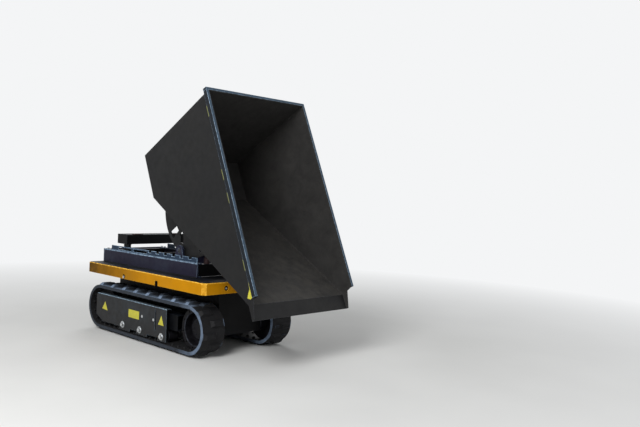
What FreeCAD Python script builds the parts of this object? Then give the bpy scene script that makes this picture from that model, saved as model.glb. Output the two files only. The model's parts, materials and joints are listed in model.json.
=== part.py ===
import FreeCAD, Part
import math
import os
import re
import Sketcher

# Site dumper: a low rubber-tracked carrier with a tipping skip, standing with its skip tipped.
# Millimetres. +X is the way the skip pours, +Y is left, +Z is up and Z = 0 is the ground.
# Carrier pieces are drawn about the middle of the tracks. Skip pieces are drawn with the skip
# level, about the rear top corner of its side wall, and are then turned to the tipped pose.

SIZES = [
    # name, value, meaning
    ("track_length", 1330, "track, over the lugs"),
    ("track_height", 320, "track, over the lugs"),
    ("track_centre", 270, "middle of a belt, from the middle of the machine"),
    ("belt_width", 160, "rubber belt"),
    ("belt_thick", 20, "rubber belt without its lugs"),
    ("lug_tall", 15, "lug above the belt"),
    ("lug_root", 42, "lug along the belt, at its foot"),
    ("lug_tip", 26, "lug along the belt, at its top"),
    ("lug_reach", 100, "lug across the belt, at its foot"),
    ("lug_slope", 20, "slope of a lug's ends, across the belt"),
    ("lug_inset", 2, "lug's foot, inside the belt's edge"),
    ("lug_sink", 3, "lug foot buried in the belt"),
    ("wheel_gap", 0.3, "between a wheel and the belt"),
    ("wheel_width", 60, "drive wheel and idler"),
    ("wheel_rim", 28, "rim of the drive wheel"),
    ("wheel_web", 12, "web of the drive wheel"),
    ("hub_radius", 34, "idler hub"),
    ("roller_radius", 40, "bottom roller"),
    ("roller_behind", 281, "rear roller, ahead of the idler's axle"),
    ("roller_middle", 22, "middle roller, behind the middle of the track"),
    ("roller_ahead", 286, "front roller, behind the drive wheel's axle"),
    ("motor_radius", 58, "drive motor"),
    ("motor_end", 22, "motor end inside the wheel, past its web"),
    ("side_gap", 5, "between a wheel and the plates beside it, which the rollers fill"),
    ("roller_gap", 5, "between the rollers and the track beam"),
    ("beam_gap", 32.7, "track beam's top, below the cover plate's"),
    ("beam_wall", 6, "track beam's wall"),
    ("beam_short", 165, "track beam's ends, from the axles of the wheels"),
    ("hanger_thick", 7, "plates that carry rollers and idler"),
    ("hanger_half", 26, "roller plates, past the rollers' axles"),
    ("fork_half", 24, "idler fork, half its height"),
    ("fork_reach", 48, "idler fork, along the track beam"),
    ("cover_inset", 9, "cover plate's outer face, inside the belt's edge"),
    ("cover_thick", 5, "cover plate"),
    ("cover_past", 56, "cover plate's rear end, behind the idler's axle"),
    ("cover_short", 231, "cover plate's front end, behind the drive wheel's axle"),
    ("cover_gap", 37, "cover plate's top, below the belt's top run"),
    ("cover_foot", 9, "cover plate's bottom edge, above the belt's bottom run"),
    ("cover_flange", 34, "top fold of the cover plate"),
    ("cover_notch", 17, "depth of the cut-outs in its bottom edge"),
    ("cover_nick", 14, "bevel of its top rear corner"),
    ("cover_bevel", 85, "bevel of its bottom rear corner, along"),
    ("cover_bevel_tall", 42, "bevel of its bottom rear corner, up"),
    ("lobe_behind", 35, "cover plate's bottom lobe, behind its roller's axle"),
    ("lobe_ahead", 90, "cover plate's bottom lobe, ahead of its roller's axle"),
    ("slot_wide", 10, "upright slot in the cover plate"),
    ("slot_tall", 130, "upright slot in the cover plate"),
    ("slot_back", 112, "upright slot, behind the cover plate's front end"),
    ("slot_foot", 58, "upright slot, above the cover plate's bottom edge"),
    ("chassis_past", 55, "belly box, past the axles of the wheels"),
    ("chassis_gap", 22, "between the belly box and a belt"),
    ("chassis_low", 112, "belly box underside, above the ground"),
    ("chassis_plate", 6, "belly box plate"),
    ("arm_size", 60, "square arms to the track beams"),
    ("arm_wall", 5, "arm's wall"),
    ("arm_x", 190, "arms, from the middle"),
    ("arm_raise", 18, "arms' underside, above the track beam's"),
    ("battery_length", 620, "battery block"),
    ("battery_gap", 17, "between the battery block and the belly box's side"),
    ("battery_height", 210, "battery block"),
    ("platform_ahead", 90, "platform's front end, ahead of the belly box's"),
    ("platform_behind", 114, "platform's rear end, behind the belly box's"),
    ("platform_side", 5, "platform, past the belts' outer edges"),
    ("platform_rise", 130, "deck plate's top, above the tracks"),
    ("deck_thick", 6, "deck plate"),
    ("skirt_tall", 69, "skirt"),
    ("skirt_plate", 6, "skirt plate"),
    ("corner_cut", 20, "chamfered corners of the platform"),
    ("eye_radius", 15, "lashing holes in the skirt's ends"),
    ("eye_side", 190, "lashing holes, from the middle"),
    ("eye_drop", 37, "lashing holes, below the deck plate's top"),
    ("skirt_slot_x", 171, "slot in the side skirts' bottom edge, ahead of the middle"),
    ("skirt_slot_wide", 32, "slot in the side skirts' bottom edge"),
    ("skirt_slot_tall", 28, "slot in the side skirts' bottom edge"),
    ("skirt_hole_x", 205, "keyhole in the side skirts' bottom edge, behind the middle"),
    ("skirt_hole_radius", 16, "round end of the keyhole"),
    ("skirt_hole_rise", 16, "middle of the keyhole's round end, above the bottom edge"),
    ("rail_clear", 6, "between a rocker plate and the rail beside it"),
    ("rail_web", 10, "rail web"),
    ("rail_flange", 34, "rail flange across"),
    ("rail_flange_thick", 8, "rail flange"),
    ("rail_height", 89, "rail"),
    ("rail_inset", 10, "rails' rear end, ahead of the platform's"),
    ("cross_size", 50, "cross-members along the machine"),
    ("cross_wall", 5, "cross-members' wall"),
    ("cross_ahead", 40, "middle cross-member, ahead of the rest beam"),
    ("rear_plate_thick", 6, "upright plate across the rails' rear ends"),
    ("strip_thick", 8, "slotted strips on the rails"),
    ("strip_tall", 31, "slotted strips on the rails"),
    ("strip_side", 6, "slotted strips, inside the rails' outer faces"),
    ("strip_back", 12, "slotted strips' front end, behind the rails'"),
    ("strip_ahead", 89, "slotted strips' rear end, ahead of the rails'"),
    ("strip_first", 73, "middle of a strip's front slot, behind its front end"),
    ("strip_pitch", 88, "slots in a strip, from one to the next"),
    ("strip_slot", 32, "slot in a strip, along"),
    ("strip_slot_deep", 14, "slot in a strip, down"),
    ("strip_window_ahead", 90, "rear window in a strip, ahead of its rear end"),
    ("strip_window", 164, "window in a strip, along"),
    ("strip_window_bar", 22, "between a strip's two windows"),
    ("strip_window_tall", 16, "window in a strip, up"),
    ("strip_window_foot", 7, "window in a strip, above the rail"),
    ("rest_ahead", 174.7, "rest beam's rear edge, ahead of the rails' rear ends"),
    ("rest_length", 120, "rest beam along the machine"),
    ("rest_height", 65, "rest beam"),
    ("rest_under", 30, "rest beam's front edge, ahead of the level floor's rear edge"),
    ("post_length", 60, "posts under the rest beam"),
    ("pad_thick", 5, "rubber pads on the rest beam"),
    ("pad_width", 70, "rubber pads on the rest beam"),
    ("pad_side", 150, "pads and buffers, from the middle"),
    ("buffer_radius", 18, "front buffers"),
    ("buffer_rise", 61, "front buffers' top, above the rails"),
    ("stop_gap", 0.5, "between the skip and its stops"),
    ("pivot_back", 217, "pivot, behind the rails' front end"),
    ("pivot_rise", 58.5, "pivot, above the rails"),
    ("shaft_radius", 15, "pivot shaft"),
    ("sleeve_gap", 0.3, "between shaft and sleeve"),
    ("sleeve_wall", 8, "sleeve on the shaft"),
    ("pivot_lug_inset", 2, "pivot lugs' inner faces, outside the rail flanges' edges"),
    ("pivot_lug_plate", 14, "pivot lugs"),
    ("pivot_lug_foot", 46, "pivot lugs, half their foot"),
    ("boss_radius", 34, "round top of the pivot lugs"),
    ("tip_angle", 66.4, "skip, from level to tipped"),
    ("skip_half_width", 374, "skip, outside its walls"),
    ("wall", 4, "skip walls"),
    ("rear_lean", 84, "rear wall's foot, ahead of its top"),
    ("skip_deep", 719, "skip, rim to floor"),
    ("floor_front", 368, "front end of the flat floor"),
    ("slope_front", 1229, "front end of the sloping floor"),
    ("lip_drop", 86, "pouring edge, below the rim"),
    ("lip_length", 85, "pouring lip"),
    ("rim_length", 1201, "rim of the side walls"),
    ("cheek_tall", 16, "side cheeks at the lip's edge"),
    ("rim_thick", 16, "rim bar across"),
    ("rim_tall", 30, "rim bar down"),
    ("rocker_outer", 200, "rocker plates' outer face, from the middle"),
    ("rocker_plate", 10, "rocker plates"),
    ("rocker_radius", 297, "rocker plates' round edge"),
    ("rocker_ahead", 495, "middle of the round edge, ahead of the rim's rear"),
    ("rocker_raise", 131, "middle of the round edge, above the floor's underside"),
    ("rocker_boss", 42, "rocker plate round the pivot"),
    ("pivot_inset", 19.5, "pivot, inside the rocker plates' round edge"),
    ("pivot_angle", 44.4, "pivot, down from straight ahead of the round edge's middle"),
    ("window_start", 69.5, "rocker's window, front end, measured as the pivot's angle is"),
    ("window_end", 81, "rocker's window, rear end"),
    ("window_rim", 22, "rocker's window, inside the round edge"),
    ("window_tall", 78, "rocker's window, towards the middle"),
    ("hand_slot_angle", 65.5, "middle of the curved slot's arc, measured as the pivot's angle is"),
    ("hand_slot_inset", 37, "middle of the curved slot's arc, inside the round edge"),
    ("hand_slot_inner", 56, "curved slot's inner radius"),
    ("hand_slot_outer", 87, "curved slot's outer radius"),
    ("hand_slot_rear", 107, "curved slot's rear end, up from straight ahead"),
    ("hand_slot_front", 50, "curved slot's front end, up from straight ahead"),
    ("stop_radius", 22, "stop tube"),
    ("stop_wall", 4, "stop tube"),
]

LUG_COUNT = 42
STRIP_SLOTS = 6
STRIP_WINDOWS = 2
SIDES = {"right": -1, "left": 1}

doc = FreeCAD.newDocument("site_dumper")
sheet = doc.addObject("Spreadsheet::Sheet", "Sizes")
for row, (name, value, meaning) in enumerate(SIZES, start=1):
    sheet.set(f"A{row}", meaning)
    sheet.set(f"B{row}", str(value))
    sheet.setAlias(f"B{row}", name)
doc.recompute()

NAMES = re.compile(r"\b(" + "|".join(name for name, _, _ in SIZES) + r")\b")
nodes = []


def formula(text):
    """A formula over the sheet's names, as an expression that an object can be bound to."""
    return NAMES.sub(r"Sizes.\1", text)


def amount(text):
    """The number that a formula gives."""
    return float(sheet.evalExpression(formula(text)))


# Places on the level skip: ahead of its rim's rear corner, and below it as a negative height.
FLOOR = "(-skip_deep)"
LIP = "(-lip_drop)"
LIP_END = "(slope_front + lip_length)"
ROCKER_V = f"({FLOOR} + rocker_raise)"
PIVOT_REACH = "(rocker_radius - pivot_inset)"
PIVOT_U = f"(rocker_ahead + {PIVOT_REACH} * cos(pivot_angle * 1deg))"
PIVOT_V = f"({ROCKER_V} - {PIVOT_REACH} * sin(pivot_angle * 1deg))"
# The two floor bends turn by the same angle, so their mitres are alike.
SLOPE_RUN = "(slope_front - floor_front)"
SLOPE_RISE = "(skip_deep - lip_drop)"
MITRE = f"(wall * (hypot({SLOPE_RUN}; {SLOPE_RISE}) - {SLOPE_RUN}) / {SLOPE_RISE})"
REAR_THICK = "(wall * hypot(skip_deep; rear_lean) / skip_deep)"

# Places along the carrier, from its middle. The rest beam stands by the rails' rear ends, the
# level skip's foot on the beam sets the pivot, and the rails end ahead of the pivot.
WHEEL_X = "((track_length - track_height) / 2)"
BEAM_END = f"({WHEEL_X} - beam_short)"
ROLLER_X = (f"(roller_behind - {WHEEL_X})", "(-roller_middle)", f"({WHEEL_X} - roller_ahead)")
COVER_REAR = f"(-{WHEEL_X} - cover_past)"
COVER_FRONT = f"({WHEEL_X} - cover_short)"
CHASSIS_END = f"({WHEEL_X} + chassis_past)"
PLATFORM_FRONT = f"({CHASSIS_END} + platform_ahead)"
PLATFORM_REAR = f"(-{CHASSIS_END} - platform_behind)"
RAIL_REAR = f"({PLATFORM_REAR} + rail_inset)"
REST_REAR = f"({RAIL_REAR} + rest_ahead)"
REST_FRONT = f"({REST_REAR} + rest_length)"
PIVOT_X = f"({REST_FRONT} - rest_under - rear_lean + {PIVOT_U})"
RAIL_FRONT = f"({PIVOT_X} + pivot_back)"
BUFFER_X = f"({RAIL_FRONT} - cross_size / 2)"

# Places up from the ground.
WHEEL_Z = "(track_height / 2)"
BELT_INSIDE = "(lug_tall + belt_thick)"
WHEEL_R = f"(track_height / 2 - {BELT_INSIDE} - wheel_gap)"
ROLLER_Z = f"({BELT_INSIDE} + wheel_gap + roller_radius)"
COVER_LOW = f"({BELT_INSIDE} + cover_foot)"
COVER_HIGH = f"(track_height - {BELT_INSIDE} - cover_gap)"
BEAM_LOW = f"({ROLLER_Z} + roller_radius + roller_gap)"
BEAM_HIGH = f"({COVER_HIGH} - beam_gap)"
DECK_TOP = "(track_height + platform_rise)"
DECK_LOW = f"({DECK_TOP} - deck_thick)"
SKIRT_LOW = f"({DECK_TOP} - skirt_tall)"
RAIL_TOP = f"({DECK_TOP} + rail_height)"
FLANGE_LOW = f"({DECK_TOP} + rail_flange_thick)"
FLANGE_HIGH = f"({RAIL_TOP} - rail_flange_thick)"
BUFFER_TOP = f"({RAIL_TOP} + buffer_rise)"
PIVOT_Z = f"({RAIL_TOP} + pivot_rise)"
LEVEL_FLOOR = f"({PIVOT_Z} - {PIVOT_V} - skip_deep)"
REST_TOP = f"({LEVEL_FLOOR} - stop_gap - pad_thick)"
REST_LOW = f"({REST_TOP} - rest_height)"

# Places across the machine, from its middle.
BELT_IN = "(track_centre - belt_width / 2)"
BELT_OUT = "(track_centre + belt_width / 2)"
WHEEL_IN = "(track_centre - wheel_width / 2)"
WHEEL_OUT = "(track_centre + wheel_width / 2)"
BEAM_IN = f"({WHEEL_IN} - side_gap)"
BEAM_OUT = f"({WHEEL_OUT} + side_gap)"
HANGER_IN = f"({BEAM_IN} - hanger_thick)"
HANGER_OUT = f"({BEAM_OUT} + hanger_thick)"
COVER_OUT = f"({BELT_OUT} - cover_inset)"
COVER_IN = f"({COVER_OUT} - cover_thick)"
CHASSIS_SIDE = f"({BELT_IN} - chassis_gap)"
PLATFORM_SIDE = f"({BELT_OUT} + platform_side)"
RAIL_IN = "(rocker_outer + rail_clear)"
RAIL_OUT = f"({RAIL_IN} + rail_flange)"
WEB_IN = f"({RAIL_OUT} - rail_web)"
STRIP_OUT = f"({RAIL_OUT} - strip_side)"
STRIP_IN = f"({STRIP_OUT} - strip_thick)"
PIVOT_LUG_IN = f"({RAIL_IN} + pivot_lug_inset)"
PIVOT_LUG_OUT = f"({PIVOT_LUG_IN} + pivot_lug_plate)"
SLEEVE_R = "(shaft_radius + sleeve_gap + sleeve_wall)"
ROCKER_IN = "(rocker_outer - rocker_plate)"
INNER_HALF = "(skip_half_width - wall)"
RIM_OUT = "(skip_half_width + rim_thick)"

# Where the tipped skip's rim corner comes, with the skip hung on its pivot.
TIP_COS = "cos(tip_angle * 1deg)"
TIP_SIN = "sin(tip_angle * 1deg)"
RIM_X = f"({PIVOT_X} - {PIVOT_U} * {TIP_COS} - {PIVOT_V} * {TIP_SIN})"
RIM_Z = f"({PIVOT_Z} + {PIVOT_U} * {TIP_SIN} - {PIVOT_V} * {TIP_COS})"
# The machine's length runs from the platform or the tracks to the rim's front corner, and is
# centred on X = 0.
REAR_REACH = f"min({PLATFORM_REAR}; -track_length / 2)"
FRONT_REACH = f"({RIM_X} + rim_length * {TIP_COS})"
CARRIER_X = f"(-({REAR_REACH} + {FRONT_REACH}) / 2)"

def in_skip(along, up):
    """A place beside the tipped skip, in the frame that the skip is drawn in."""
    ahead = f"((({along}) - {RIM_X}) * {TIP_COS} - (({up}) - {RIM_Z}) * {TIP_SIN})"
    high = f"((({along}) - {RIM_X}) * {TIP_SIN} + (({up}) - {RIM_Z}) * {TIP_COS})"
    return ahead, high


STOP_U, STOP_V = in_skip(BUFFER_X, f"{BUFFER_TOP} + stop_gap + stop_radius")


def span(side, inner, outer):
    """A stretch across the machine on one side, as its low and high ends."""
    if side > 0:
        return inner, outer
    return f"-({outer})", f"-({inner})"


def block(along, across, up):
    """A box between three pairs of formulas."""
    box = doc.addObject("Part::Box", "Block")
    for size, axis, (low, high) in (("Length", "x", along), ("Width", "y", across), ("Height", "z", up)):
        box.setExpression(size, formula(f"({high}) - ({low})"))
        box.setExpression("Placement.Base." + axis, formula(low))
    return box


def rod(x, z, across, radius):
    """A round bar that lies across the machine."""
    bar = doc.addObject("Part::Cylinder", "Rod")
    bar.Placement = FreeCAD.Placement(FreeCAD.Vector(), FreeCAD.Rotation(FreeCAD.Vector(1, 0, 0), -90))
    bar.setExpression("Radius", formula(radius))
    bar.setExpression("Height", formula(f"({across[1]}) - ({across[0]})"))
    bar.setExpression("Placement.Base.x", formula(x))
    bar.setExpression("Placement.Base.y", formula(across[0]))
    bar.setExpression("Placement.Base.z", formula(z))
    return bar


def post(x, y, up, radius):
    """A round upright bar."""
    bar = doc.addObject("Part::Cylinder", "Post")
    bar.setExpression("Radius", formula(radius))
    bar.setExpression("Height", formula(f"({up[1]}) - ({up[0]})"))
    bar.setExpression("Placement.Base.x", formula(x))
    bar.setExpression("Placement.Base.y", formula(y))
    bar.setExpression("Placement.Base.z", formula(up[0]))
    return bar


def outline(body, plane, corners):
    """A closed sketch through the corners, each bound to its two formulas."""
    sketch = body.newObject("Sketcher::SketchObject", "Outline")
    origin = [item for item in body.Origin.OriginFeatures if item.Role == plane + "_Plane"][0]
    sketch.AttachmentSupport = [(origin, "")]
    sketch.MapMode = "FlatFace"
    places = [FreeCAD.Vector(amount(a), amount(b), 0) for a, b in corners]
    count = len(corners)
    for index in range(count):
        sketch.addGeometry(Part.LineSegment(places[index], places[(index + 1) % count]), False)
    for index in range(count):
        sketch.addConstraint(Sketcher.Constraint("Coincident", index, 2, (index + 1) % count, 1))
    for index, pair in enumerate(corners):
        for kind, text, value in (("DistanceX", pair[0], places[index].x), ("DistanceY", pair[1], places[index].y)):
            number = sketch.addConstraint(Sketcher.Constraint(kind, -1, 1, index, 1, value))
            sketch.setExpression(f"Constraints[{number}]", formula(text))
    return sketch


# Each plane's own normal: the sense in which a pad grows along its axis.
PLANES = {"XY": 1, "YZ": 1, "XZ": -1}


def plate(plane, corners, reach):
    """A body padded from a closed outline between two places along the plane's normal."""
    body = doc.addObject("PartDesign::Body", "Plate")
    sketch = outline(body, plane, corners)
    low, high = reach
    start = low if PLANES[plane] > 0 else f"-({high})"
    sketch.setExpression("AttachmentOffset.Base.z", formula(start))
    pad = body.newObject("PartDesign::Pad", "Pad")
    pad.Profile = sketch
    pad.setExpression("Length", formula(f"({high}) - ({low})"))
    body.Tip = pad
    return body


def turned(x, z, side, corners):
    """A body turned about an axis across the machine, from corners of place across and radius."""
    body = doc.addObject("PartDesign::Body", "Turned")
    sketch = outline(body, "YZ", [(f"{side} * ({across})", radius) for across, radius in corners])
    whole_turn = body.newObject("PartDesign::Revolution", "Turn")
    whole_turn.Profile = sketch
    whole_turn.ReferenceAxis = (sketch, ["H_Axis"])
    whole_turn.Angle = 360
    body.Tip = whole_turn
    body.setExpression("Placement.Base.x", formula(x))
    body.setExpression("Placement.Base.z", formula(z))
    return body


def fuse(*pieces):
    """One solid of pieces that meet, or one node of pieces that don't."""
    whole = doc.addObject("Part::MultiFuse", "Fuse")
    whole.Shapes = list(pieces)
    whole.Refine = True
    return whole


def cut(piece, *tools):
    """A piece less the room that other things need in it."""
    for tool in tools:
        result = doc.addObject("Part::Cut", "Cut")
        result.Base = piece
        result.Tool = tool
        piece = result
    return piece


def common(piece, region):
    """The part of a piece that lies in a region."""
    result = doc.addObject("Part::MultiCommon", "Common")
    result.Shapes = [piece, region]
    return result


def tube(x, z, across, radius, wall_thick):
    """A round tube that lies across the machine."""
    return cut(rod(x, z, across, radius), rod(x, z, across, f"{radius} - {wall_thick}"))


def sector(x, z, across, inner, outer, start, end):
    """Part of a ring, from one angle to another, each counted up from straight ahead."""
    ring = cut(rod(x, z, across, outer), rod(x, z, across, inner))
    far = f"(2 * ({outer}))"
    wedge = plate("XZ", [(x, z), (f"{x} + {far} * cos(({start}) * 1deg)", f"{z} + {far} * sin(({start}) * 1deg)"),
                         (f"{x} + {far} * cos(({end}) * 1deg)", f"{z} + {far} * sin(({end}) * 1deg)")], across)
    return common(ring, wedge)


def put(piece, label, base_x, base_z=None, turned_over=False):
    """Name a finished sub-part and place it in the machine."""
    piece.Label = label
    if turned_over:
        piece.Placement = FreeCAD.Placement(FreeCAD.Vector(), FreeCAD.Rotation(FreeCAD.Vector(0, 1, 0), 1))
        piece.setExpression("Placement.Rotation.Angle", formula("tip_angle * 1deg"))
        piece.setExpression("Placement.Base.z", formula(base_z))
    piece.setExpression("Placement.Base.x", formula(base_x))
    nodes.append(piece)


def alone(piece):
    """A single primitive as an object with a placement of its own."""
    holder = doc.addObject("Part::Compound", "Single")
    holder.Links = [piece]
    return holder


def on_carrier(label, piece):
    """A sub-part of the carrier. A primitive goes in a compound, which holds its placement."""
    put(alone(piece) if piece.TypeId in ("Part::Box", "Part::Cylinder") else piece, label, CARRIER_X)


def on_skip(label, piece):
    """A sub-part of the skip, turned to the tipped pose."""
    if piece.TypeId in ("Part::Box", "Part::Cylinder"):
        piece = alone(piece)
    put(piece, label, f"{RIM_X} + {CARRIER_X}", RIM_Z, turned_over=True)


def track_shape(side):
    """A rubber belt in one loop, with its lugs reaching in from either edge in turn."""
    half = amount(WHEEL_X)
    centre = amount(WHEEL_Z)
    outer = centre - amount("lug_tall")
    inner = outer - amount("belt_thick")
    near, far = side * amount(BELT_IN), side * amount(BELT_OUT)

    def loop(radius):
        ends = [FreeCAD.Vector(x, near, centre + z) for x, z in
                ((-half, radius), (half, radius), (half, -radius), (-half, -radius))]
        front = FreeCAD.Vector(half + radius, near, centre)
        rear = FreeCAD.Vector(-half - radius, near, centre)
        return Part.Face(Part.Wire([Part.LineSegment(ends[0], ends[1]).toShape(),
                                    Part.Arc(ends[1], front, ends[2]).toShape(),
                                    Part.LineSegment(ends[2], ends[3]).toShape(),
                                    Part.Arc(ends[3], rear, ends[0]).toShape()]))

    across = FreeCAD.Vector(0, far - near, 0)
    belt = loop(outer).extrude(across).cut(loop(inner).extrude(across))
    foot, tip = amount("lug_root") / 2, amount("lug_tip") / 2
    base, top = outer - amount("lug_sink"), centre
    reach, slope, inset = (amount(name) for name in ("lug_reach", "lug_slope", "lug_inset"))
    straight, bend = 2 * half, math.pi * outer
    pitch = 2 * (straight + bend) / LUG_COUNT
    low, high = min(near, far) + inset, max(near, far) - inset
    lugs = []
    for index in range(LUG_COUNT):
        start, end = (low, low + reach) if index % 2 == (side > 0) else (high - reach, high)
        # The wedge narrows along its own Y, which is then turned up.
        lug = Part.makeWedge(-foot, base, -end, -end + slope, -tip, foot, top, -start, -start - slope, tip)
        lug.rotate(FreeCAD.Vector(), FreeCAD.Vector(1, 0, 0), 90)
        along = index * pitch
        if along < straight:
            move, turn = along - half, 0
        elif along < straight + bend:
            move, turn = half, (along - straight) / outer
        elif along < 2 * straight + bend:
            move, turn = half - (along - straight - bend), math.pi
        else:
            move, turn = -half, math.pi + (along - 2 * straight - bend) / outer
        place = FreeCAD.Placement(FreeCAD.Vector(move, 0, centre),
                                  FreeCAD.Rotation(FreeCAD.Vector(0, 1, 0), math.degrees(turn)))
        lug.Placement = place.multiply(lug.Placement)
        lugs.append(lug)
    return belt.fuse(lugs).removeSplitter()


# Belly box between the tracks, with the battery inside it and square arms to the track beams.
on_carrier("chassis_box", cut(
    block((f"-{CHASSIS_END}", CHASSIS_END), (f"-{CHASSIS_SIDE}", CHASSIS_SIDE), ("chassis_low", DECK_LOW)),
    block((f"chassis_plate - {CHASSIS_END}", f"{CHASSIS_END} - chassis_plate"),
          (f"chassis_plate - {CHASSIS_SIDE}", f"{CHASSIS_SIDE} - chassis_plate"),
          ("chassis_low + chassis_plate", DECK_LOW))))
battery_side = f"({CHASSIS_SIDE} - chassis_plate - battery_gap)"
on_carrier("battery_block", block(("-battery_length / 2", "battery_length / 2"),
                                  (f"-{battery_side}", battery_side),
                                  ("chassis_low + chassis_plate", "chassis_low + chassis_plate + battery_height")))
arms = []
for side in SIDES.values():
    across = span(side, CHASSIS_SIDE, HANGER_IN)
    for where in ("-arm_x", "arm_x"):
        low = f"{BEAM_LOW} + arm_raise"
        outside = block((f"{where} - arm_size / 2", f"{where} + arm_size / 2"), across, (low, f"{low} + arm_size"))
        inside = block((f"{where} - arm_size / 2 + arm_wall", f"{where} + arm_size / 2 - arm_wall"), across,
                       (f"{low} + arm_wall", f"{low} + arm_size - arm_wall"))
        arms.append(cut(outside, inside))
on_carrier("track_arms", fuse(*arms))

# Platform: a deck plate with a skirt round it, its corners cut off. Inside the skirt the cut is
# shorter than outside by this much.
BEVEL = "(skirt_plate * (sqrt(2) - 1))"
DECK_Y = f"({PLATFORM_SIDE} - skirt_plate)"
DECK_CUT = f"(corner_cut - {BEVEL})"
ENDS = {"front": (1, PLATFORM_FRONT), "rear": (-1, PLATFORM_REAR)}
corners = []
for name, sign_y, along_first in (("front", -1, False), ("front", 1, True), ("rear", 1, False), ("rear", -1, True)):
    sign_x, outside = ENDS[name]
    inside = f"({outside} - {sign_x} * skirt_plate)"
    inboard = (f"{inside} - {sign_x} * {DECK_CUT}", f"{sign_y} * {DECK_Y}")
    end = (inside, f"{sign_y} * ({DECK_Y} - {DECK_CUT})")
    corners += [end, inboard] if along_first else [inboard, end]
on_carrier("deck_plate", plate("XY", corners, (DECK_LOW, DECK_TOP)))
for name, (sign, outside) in ENDS.items():
    inside = f"({outside} - {sign} * skirt_plate)"
    half = [(f"{outside} - {sign} * corner_cut", PLATFORM_SIDE),
            (outside, f"({PLATFORM_SIDE} - corner_cut)"),
            (inside, f"({DECK_Y} - {DECK_CUT})"),
            (f"{inside} - {sign} * {DECK_CUT}", DECK_Y),
            (f"{outside} - {sign} * corner_cut", DECK_Y)]
    left, right = half, [(x, f"-{y}") for x, y in half]
    ring = [left[0], left[1], right[1], right[0], right[4], right[3], right[2], left[2], left[3], left[4]]
    end = plate("XY", ring, (SKIRT_LOW, DECK_TOP))
    holes = []
    for where in ("-eye_side", "eye_side"):
        hole = doc.addObject("Part::Cylinder", "Eye")
        hole.Placement = FreeCAD.Placement(FreeCAD.Vector(), FreeCAD.Rotation(FreeCAD.Vector(0, 1, 0), 90))
        hole.setExpression("Radius", formula("eye_radius"))
        hole.setExpression("Height", formula("3 * skirt_plate"))
        hole.setExpression("Placement.Base.x", formula(f"{outside} - 3 * skirt_plate / 2"))
        hole.setExpression("Placement.Base.y", formula(where))
        hole.setExpression("Placement.Base.z", formula(f"{DECK_TOP} - eye_drop"))
        holes.append(hole)
    on_carrier("skirt_" + name, cut(end, *holes))
for name, side in SIDES.items():
    across = span(side, DECK_Y, PLATFORM_SIDE)
    skirt = block((f"{PLATFORM_REAR} + corner_cut", f"{PLATFORM_FRONT} - corner_cut"), across,
                  (SKIRT_LOW, DECK_TOP))
    slot = block(("skirt_slot_x - skirt_slot_wide / 2", "skirt_slot_x + skirt_slot_wide / 2"), across,
                 (SKIRT_LOW, f"{SKIRT_LOW} + skirt_slot_tall"))
    hole = rod("-skirt_hole_x", f"{SKIRT_LOW} + skirt_hole_rise", across, "skirt_hole_radius")
    neck = block(("-skirt_hole_x - skirt_hole_radius / 2", "-skirt_hole_x + skirt_hole_radius / 2"), across,
                 (SKIRT_LOW, f"{SKIRT_LOW} + skirt_hole_rise"))
    on_carrier("skirt_" + name, cut(skirt, slot, hole, neck))

# Sub-frame on the deck: two rails open towards each other, with members across between them,
# a plate across their rear ends and a strip on top of each, with open slots in its front half
# and two long windows in its rear half.
strip_front = f"({RAIL_FRONT} - strip_back)"
strip_rear = f"({RAIL_REAR} + strip_ahead)"
window_low = f"({RAIL_TOP} + strip_window_foot)"
strips = []
for name, side in SIDES.items():
    corners = [(RAIL_OUT, DECK_TOP), (RAIL_OUT, RAIL_TOP), (RAIL_IN, RAIL_TOP), (RAIL_IN, FLANGE_HIGH),
               (WEB_IN, FLANGE_HIGH), (WEB_IN, FLANGE_LOW), (RAIL_IN, FLANGE_LOW), (RAIL_IN, DECK_TOP)]
    on_carrier("rail_" + name, plate("YZ", [(f"{side} * {y}", z) for y, z in corners], (RAIL_REAR, RAIL_FRONT)))
    across = span(side, STRIP_IN, STRIP_OUT)
    top = f"({RAIL_TOP} + strip_tall)"
    strip = block((strip_rear, strip_front), across, (RAIL_TOP, top))
    openings = []
    for index in range(STRIP_SLOTS):
        middle = f"({strip_front} - strip_first - {index} * strip_pitch)"
        openings.append(block((f"{middle} - strip_slot / 2", f"{middle} + strip_slot / 2"), across,
                              (f"{top} - strip_slot_deep", top)))
    for index in range(STRIP_WINDOWS):
        start = f"({strip_rear} + strip_window_ahead + {index} * (strip_window + strip_window_bar))"
        openings.append(block((start, f"{start} + strip_window"), across,
                              (window_low, f"{window_low} + strip_window_tall")))
    strips.append(cut(strip, fuse(*openings)))
on_carrier("rail_strips", fuse(*strips))
CROSS = (("cross_rear", RAIL_REAR), ("cross_middle_member", f"({REST_FRONT} + cross_ahead)"),
         ("cross_front", f"({RAIL_FRONT} - cross_size)"))
for label, start in CROSS:
    across = (f"-{WEB_IN}", WEB_IN)
    on_carrier(label, cut(
        block((start, f"{start} + cross_size"), across, (FLANGE_LOW, FLANGE_HIGH)),
        block((f"{start} + cross_wall", f"{start} + cross_size - cross_wall"), across,
              (f"{FLANGE_LOW} + cross_wall", f"{FLANGE_HIGH} - cross_wall"))))
on_carrier("rear_plate", block((f"{RAIL_REAR} - rear_plate_thick", RAIL_REAR), (f"-{RAIL_OUT}", RAIL_OUT),
                               (DECK_TOP, RAIL_TOP)))

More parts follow.
